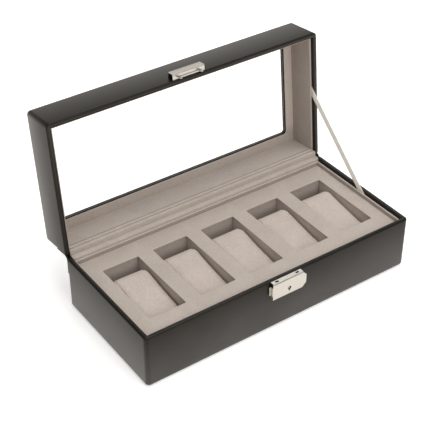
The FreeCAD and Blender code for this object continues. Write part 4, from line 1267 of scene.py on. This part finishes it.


# nickel plate: faint brushing along X and small smudges, with painted light on faces that look up and painted
# shade in its hollows
def nickelMaterial():
    look = nickelLook
    material, tree = nodeTree("nickelPlate")
    at = objectPlace(tree)
    stretch = add(tree, "ShaderNodeMapping", Vector=at, Scale=look["brush"])
    brush = noise(tree, stretch.outputs[0], 1.0, 2.0)
    smudge = noise(tree, at, look["smudge"], 3.0)
    # painted shade where the mask marks hollows, slots and seams
    bare = maskOf(tree, "inner")
    dull = colourMix(tree, smudge, *look["dull"])
    bright = colourMix(tree, smudge, *look["bright"])
    # painted light: the lighter copy where the mask says
    plate = colourMix(tree, maskOf(tree, "polish"), dull, bright)
    rough = rangeOf(tree, smudge, *look["rough"])
    bareRough = maths(tree, "MULTIPLY", bare, look["bareRough"])
    dress(tree, {
        "Base Color": colourMix(tree, bare, plate, look["bare"]),
        "Metallic": 1.0,
        "Roughness": maths(tree, "MAXIMUM", rough, bareRough),
        "Normal": bumpOf(tree, brush, *look["bump"]),
    })
    return material


steelLook = {
    "dark": (0.075, 0.072, 0.068, 1),
    "light": (0.130, 0.126, 0.120, 1),
    "rough": (0.3, 0.7, 0.34, 0.48),
    "mottle": 420.0,
}


def steelMaterial():
    look = steelLook
    material, tree = nodeTree("plainSteel")
    mottle = noise(tree, objectPlace(tree), look["mottle"], 4.0)
    dress(tree, {
        "Base Color": colourMix(tree, mottle, look["dark"], look["light"]),
        "Metallic": 1.0,
        "Roughness": rangeOf(tree, mottle, *look["rough"]),
    })
    return material


def glassMaterial():
    material, tree = nodeTree("clearPane")
    dress(tree, {
        "Base Color": (0.985, 0.995, 0.99, 1),
        "Roughness": 0.0,
        "IOR": 1.45,
        "Transmission Weight": 1.0,
    })
    return material


feltLook = {
    "dark": (0.012, 0.012, 0.013, 1),
    "light": (0.034, 0.033, 0.033, 1),
    "bump": (0.5, 0.4 * mm),
}


# felt under the floor: dense short fibres, nearly black
def feltMaterial():
    look = feltLook
    material, tree = nodeTree("undersideFelt")
    nap = place(tree, napGroup, Vector=objectPlace(tree))
    dress(tree, {
        "Base Color": colourMix(tree, nap["Tone"], look["dark"], look["light"]),
        "Roughness": 0.98,
        "Specular IOR Level": 0.1,
        "Normal": bumpOf(tree, nap["Height"], *look["bump"]),
    })
    return material


ribbonLook = {
    "weave": ((0.90, 0.808, 0.680, 1), (0.98, 0.897, 0.772, 1)),
    "selvage": (0.94, 0.856, 0.732, 1),
    "selvageFrom": (2.3 * mm, 2.7 * mm),  # from the middle
    "middle": 3.0 * mm,
    "rib": 0.7 * mm,
    "thread": 0.5 * mm,
    "bump": (0.4, 0.2 * mm),
}


# woven ribbon: weft ribs across its own length from its UV map, with a firmer edge
def ribbonMaterial():
    look = ribbonLook
    material, tree = nodeTree("wovenRibbon")
    lay = add(tree, "ShaderNodeUVMap", uv_map="lay").outputs[0]
    split = add(tree, "ShaderNodeSeparateXYZ", Vector=lay).outputs
    ribs = maths(tree, "SINE", maths(tree, "MULTIPLY", split["Y"], 2 * math.pi / look["rib"]))
    threads = maths(tree, "SINE", maths(tree, "MULTIPLY", split["X"], 2 * math.pi / look["thread"]))
    weave = weighted(tree, ribs, 0.35, threads, 0.15)
    fromMiddle = maths(tree, "ABSOLUTE", maths(tree, "SUBTRACT", split["X"], look["middle"]))
    selvage = rangeOf(tree, fromMiddle, *look["selvageFrom"], 0.0, 1.0)
    cloth = colourMix(tree, maths(tree, "ADD", weave, 0.5), *look["weave"])
    dress(tree, {
        "Base Color": colourMix(tree, selvage, cloth, look["selvage"]),
        "Roughness": 0.62,
        "Specular IOR Level": 0.3,
        "Sheen Weight": 0.2,
        "Subsurface Weight": 0.6,
        "Subsurface Scale": 0.002,
        "Subsurface Radius": (1.0, 1.0, 1.0),
        "Normal": bumpOf(tree, weave, *look["bump"]),
    })
    return material


# fibreboard, hidden under the covers
def boardMaterial():
    material, tree = nodeTree("fibreBoard")
    chips = noise(tree, objectPlace(tree), 900.0, 5.0, Roughness=0.7)
    dress(tree, {
        "Base Color": colourMix(tree, chips, (0.30, 0.22, 0.14, 1), (0.50, 0.40, 0.28, 1)),
        "Roughness": 0.85,
    })
    return material


leather = leatherMaterial()
suede = suedeMaterial("traySuede", suedeLook["tray"])
cushionSuede = suedeMaterial("cushionSuede", suedeLook["cushion"])
nickel = nickelMaterial()
ribbon = ribbonMaterial()
slotLooks = {
    "black_leather": leather,
    "suede": suede,
    "cushion_suede": cushionSuede,
    "board": boardMaterial(),
    "clear_glass": glassMaterial(),
    "nickel": nickel,
    "plain_steel": steelMaterial(),
    "underside_felt": feltMaterial(),
    "ribbon": ribbon,
}


def wear(piece, material):
    piece.data.materials.clear()
    piece.data.materials.append(material)


for piece in (baseLeather, lidLeather, windowTrim, hingeLeather):
    wear(piece, leather)
for piece in linings + trayBlocks + [roofLining, trayBoard, hingeCloth]:
    wear(piece, suede)
for piece in cushions:
    wear(piece, cushionSuede)
for piece in (lockCover, haspPlate):
    wear(piece, nickel)
wear(stayRibbon, ribbon)
for part in frame["record"]["subparts"]:
    node = nodes[part["node"]]
    node.data.materials.clear()
    node.data.materials.append(slotLooks[part["material_slot"]])
nodes["lock_key_post"].data.materials[0] = nickel
print("materials set")


stageLook = {
    "floor": (0.93, 0.905, 0.87, 1),
    "floorRings": (0.0, 0.3, 0.7, 1.5, 4.0),
    "floorZ": -0.05 * mm,
    "glow": 0.45,             # added where the camera, gloss or glass looks, and more far from the lamps
    "glowReach": (0.35, 1.1),
    "world": 0.48,
    "zenith": 0.12,           # gloss sees white round the horizon and a dim ceiling
    "sky": (0.05, 0.55),
    "white": (1.0, 1.0, 1.0, 1),
    "warm": (1.0, 0.945, 0.868, 1),
    "lamps": {
        "key": {"at": (0.12, -0.12, 1.48), "aim": (0, 0, 0.06), "size": 1.2, "watts": 11.3},
        "rear": {"at": (0.75, 1.10, 1.15), "aim": (0, 0.08, 0.15), "size": 1.0, "watts": 2.8},
        "front": {"at": (-0.05, -1.30, 0.85), "aim": (0, 0.08, 0.08), "size": 1.0, "watts": 5.9},
    },
    "eye": (-530.589 * mm, -710.432 * mm, 740.752 * mm),
    "target": (2.847 * mm, 48.34 * mm, 55.764 * mm),
    "lens": 96.05,
    "sensor": 36.0,
}


# 1 where a ray has met something dull, and 1 where it has met gloss alone
def metBy(tree, path):
    dulled = maths(tree, "MINIMUM", path["Diffuse Depth"], 1.0)
    glossed = maths(tree, "MINIMUM", path["Glossy Depth"], 1.0)
    return dulled, maths(tree, "SUBTRACT", glossed, dulled, True)


# white where the camera and glass look, white to dim where gloss looks, a plain level for the rest
def backgroundLight():
    look = stageLook
    world = bpy.data.worlds.new("studio")
    bpy.context.scene.world = world
    world.use_nodes = True
    tree = world.node_tree
    tree.nodes.clear()
    path = add(tree, "ShaderNodeLightPath").outputs
    way = add(tree, "ShaderNodeTexCoord").outputs["Generated"]
    height = add(tree, "ShaderNodeSeparateXYZ", Vector=way).outputs["Z"]
    gloss = rangeOf(tree, height, *look["sky"], 1.0, look["zenith"])
    dulled, glossed = metBy(tree, path)
    seen = maths(tree, "MAXIMUM", path["Is Camera Ray"], path["Is Transmission Ray"])
    seen = maths(tree, "SUBTRACT", maths(tree, "SUBTRACT", seen, dulled, True), glossed, True)
    plain = maths(tree, "SUBTRACT", maths(tree, "SUBTRACT", 1.0, seen, True), glossed, True)
    strength = maths(tree, "ADD", seen, maths(tree, "MULTIPLY", plain, look["world"]))
    strength = maths(tree, "ADD", strength, maths(tree, "MULTIPLY", gloss, glossed))
    colour = colourMix(tree, glossed, look["white"], look["warm"])
    light = add(tree, "ShaderNodeBackground", Color=colour, Strength=strength)
    toOutput(tree, light, "ShaderNodeOutputWorld")


# plain pale floor, a disc of rings round the box
def makeFloor():
    look = stageLook
    radius = np.array(look["floorRings"])[:, None]
    angle = np.linspace(0, 2 * np.pi, 65)[None, :-1]
    rings = np.stack([radius * np.cos(angle), radius * np.sin(angle)], -1)
    points = atHeights(rings, np.full(len(rings), look["floorZ"]))
    floor = meshPiece("floor", points.reshape(-1, 3), gridQuads(*rings.shape[:2], True))
    merged(floor)
    material, tree = nodeTree("paperFloor")
    dulled, glossed = metBy(tree, add(tree, "ShaderNodeLightPath").outputs)
    away = add(tree, "ShaderNodeVectorMath", operation="LENGTH")
    feed(tree, away, {0: objectPlace(tree)})
    level = rangeOf(tree, away.outputs["Value"], *look["glowReach"], look["glow"], 1.0)
    strength = maths(tree, "MULTIPLY", maths(tree, "SUBTRACT", 1.0, dulled), level)
    colour = colourMix(tree, glossed, look["white"], look["warm"])
    glow = add(tree, "ShaderNodeEmission", Color=colour, Strength=strength)
    paper = add(tree, "ShaderNodeBsdfDiffuse", Color=look["floor"])
    both = add(tree, "ShaderNodeAddShader")
    toOutput(tree, feed(tree, both, {0: paper.outputs[0], 1: glow.outputs[0]}))
    floor.data.materials.append(material)


# a lamp or camera at one place, turned to another
def aimed(name, data, at, target):
    holder = addObject(name, data)
    holder.location = at
    way = Vector(target) - Vector(at)
    holder.rotation_euler = way.to_track_quat("-Z", "Y").to_euler()
    return holder


def addLamps():
    for name, look in stageLook["lamps"].items():
        lamp = bpy.data.lights.new(name + "Lamp", "AREA")
        lamp.shape = "DISK"
        lamp.size = look["size"]
        lamp.energy = look["watts"]
        aimed(name + "Lamp", lamp, look["at"], look["aim"])


def addCamera():
    lens = bpy.data.cameras.new("photoView")
    lens.lens = stageLook["lens"]
    lens.sensor_width = stageLook["sensor"]
    lens.sensor_fit = "HORIZONTAL"
    camera = aimed("photoView", lens, stageLook["eye"], stageLook["target"])
    bpy.context.scene.camera = camera


backgroundLight()
makeFloor()
addLamps()
addCamera()
bpy.context.scene.view_settings.view_transform = "Standard"
print("stage set")
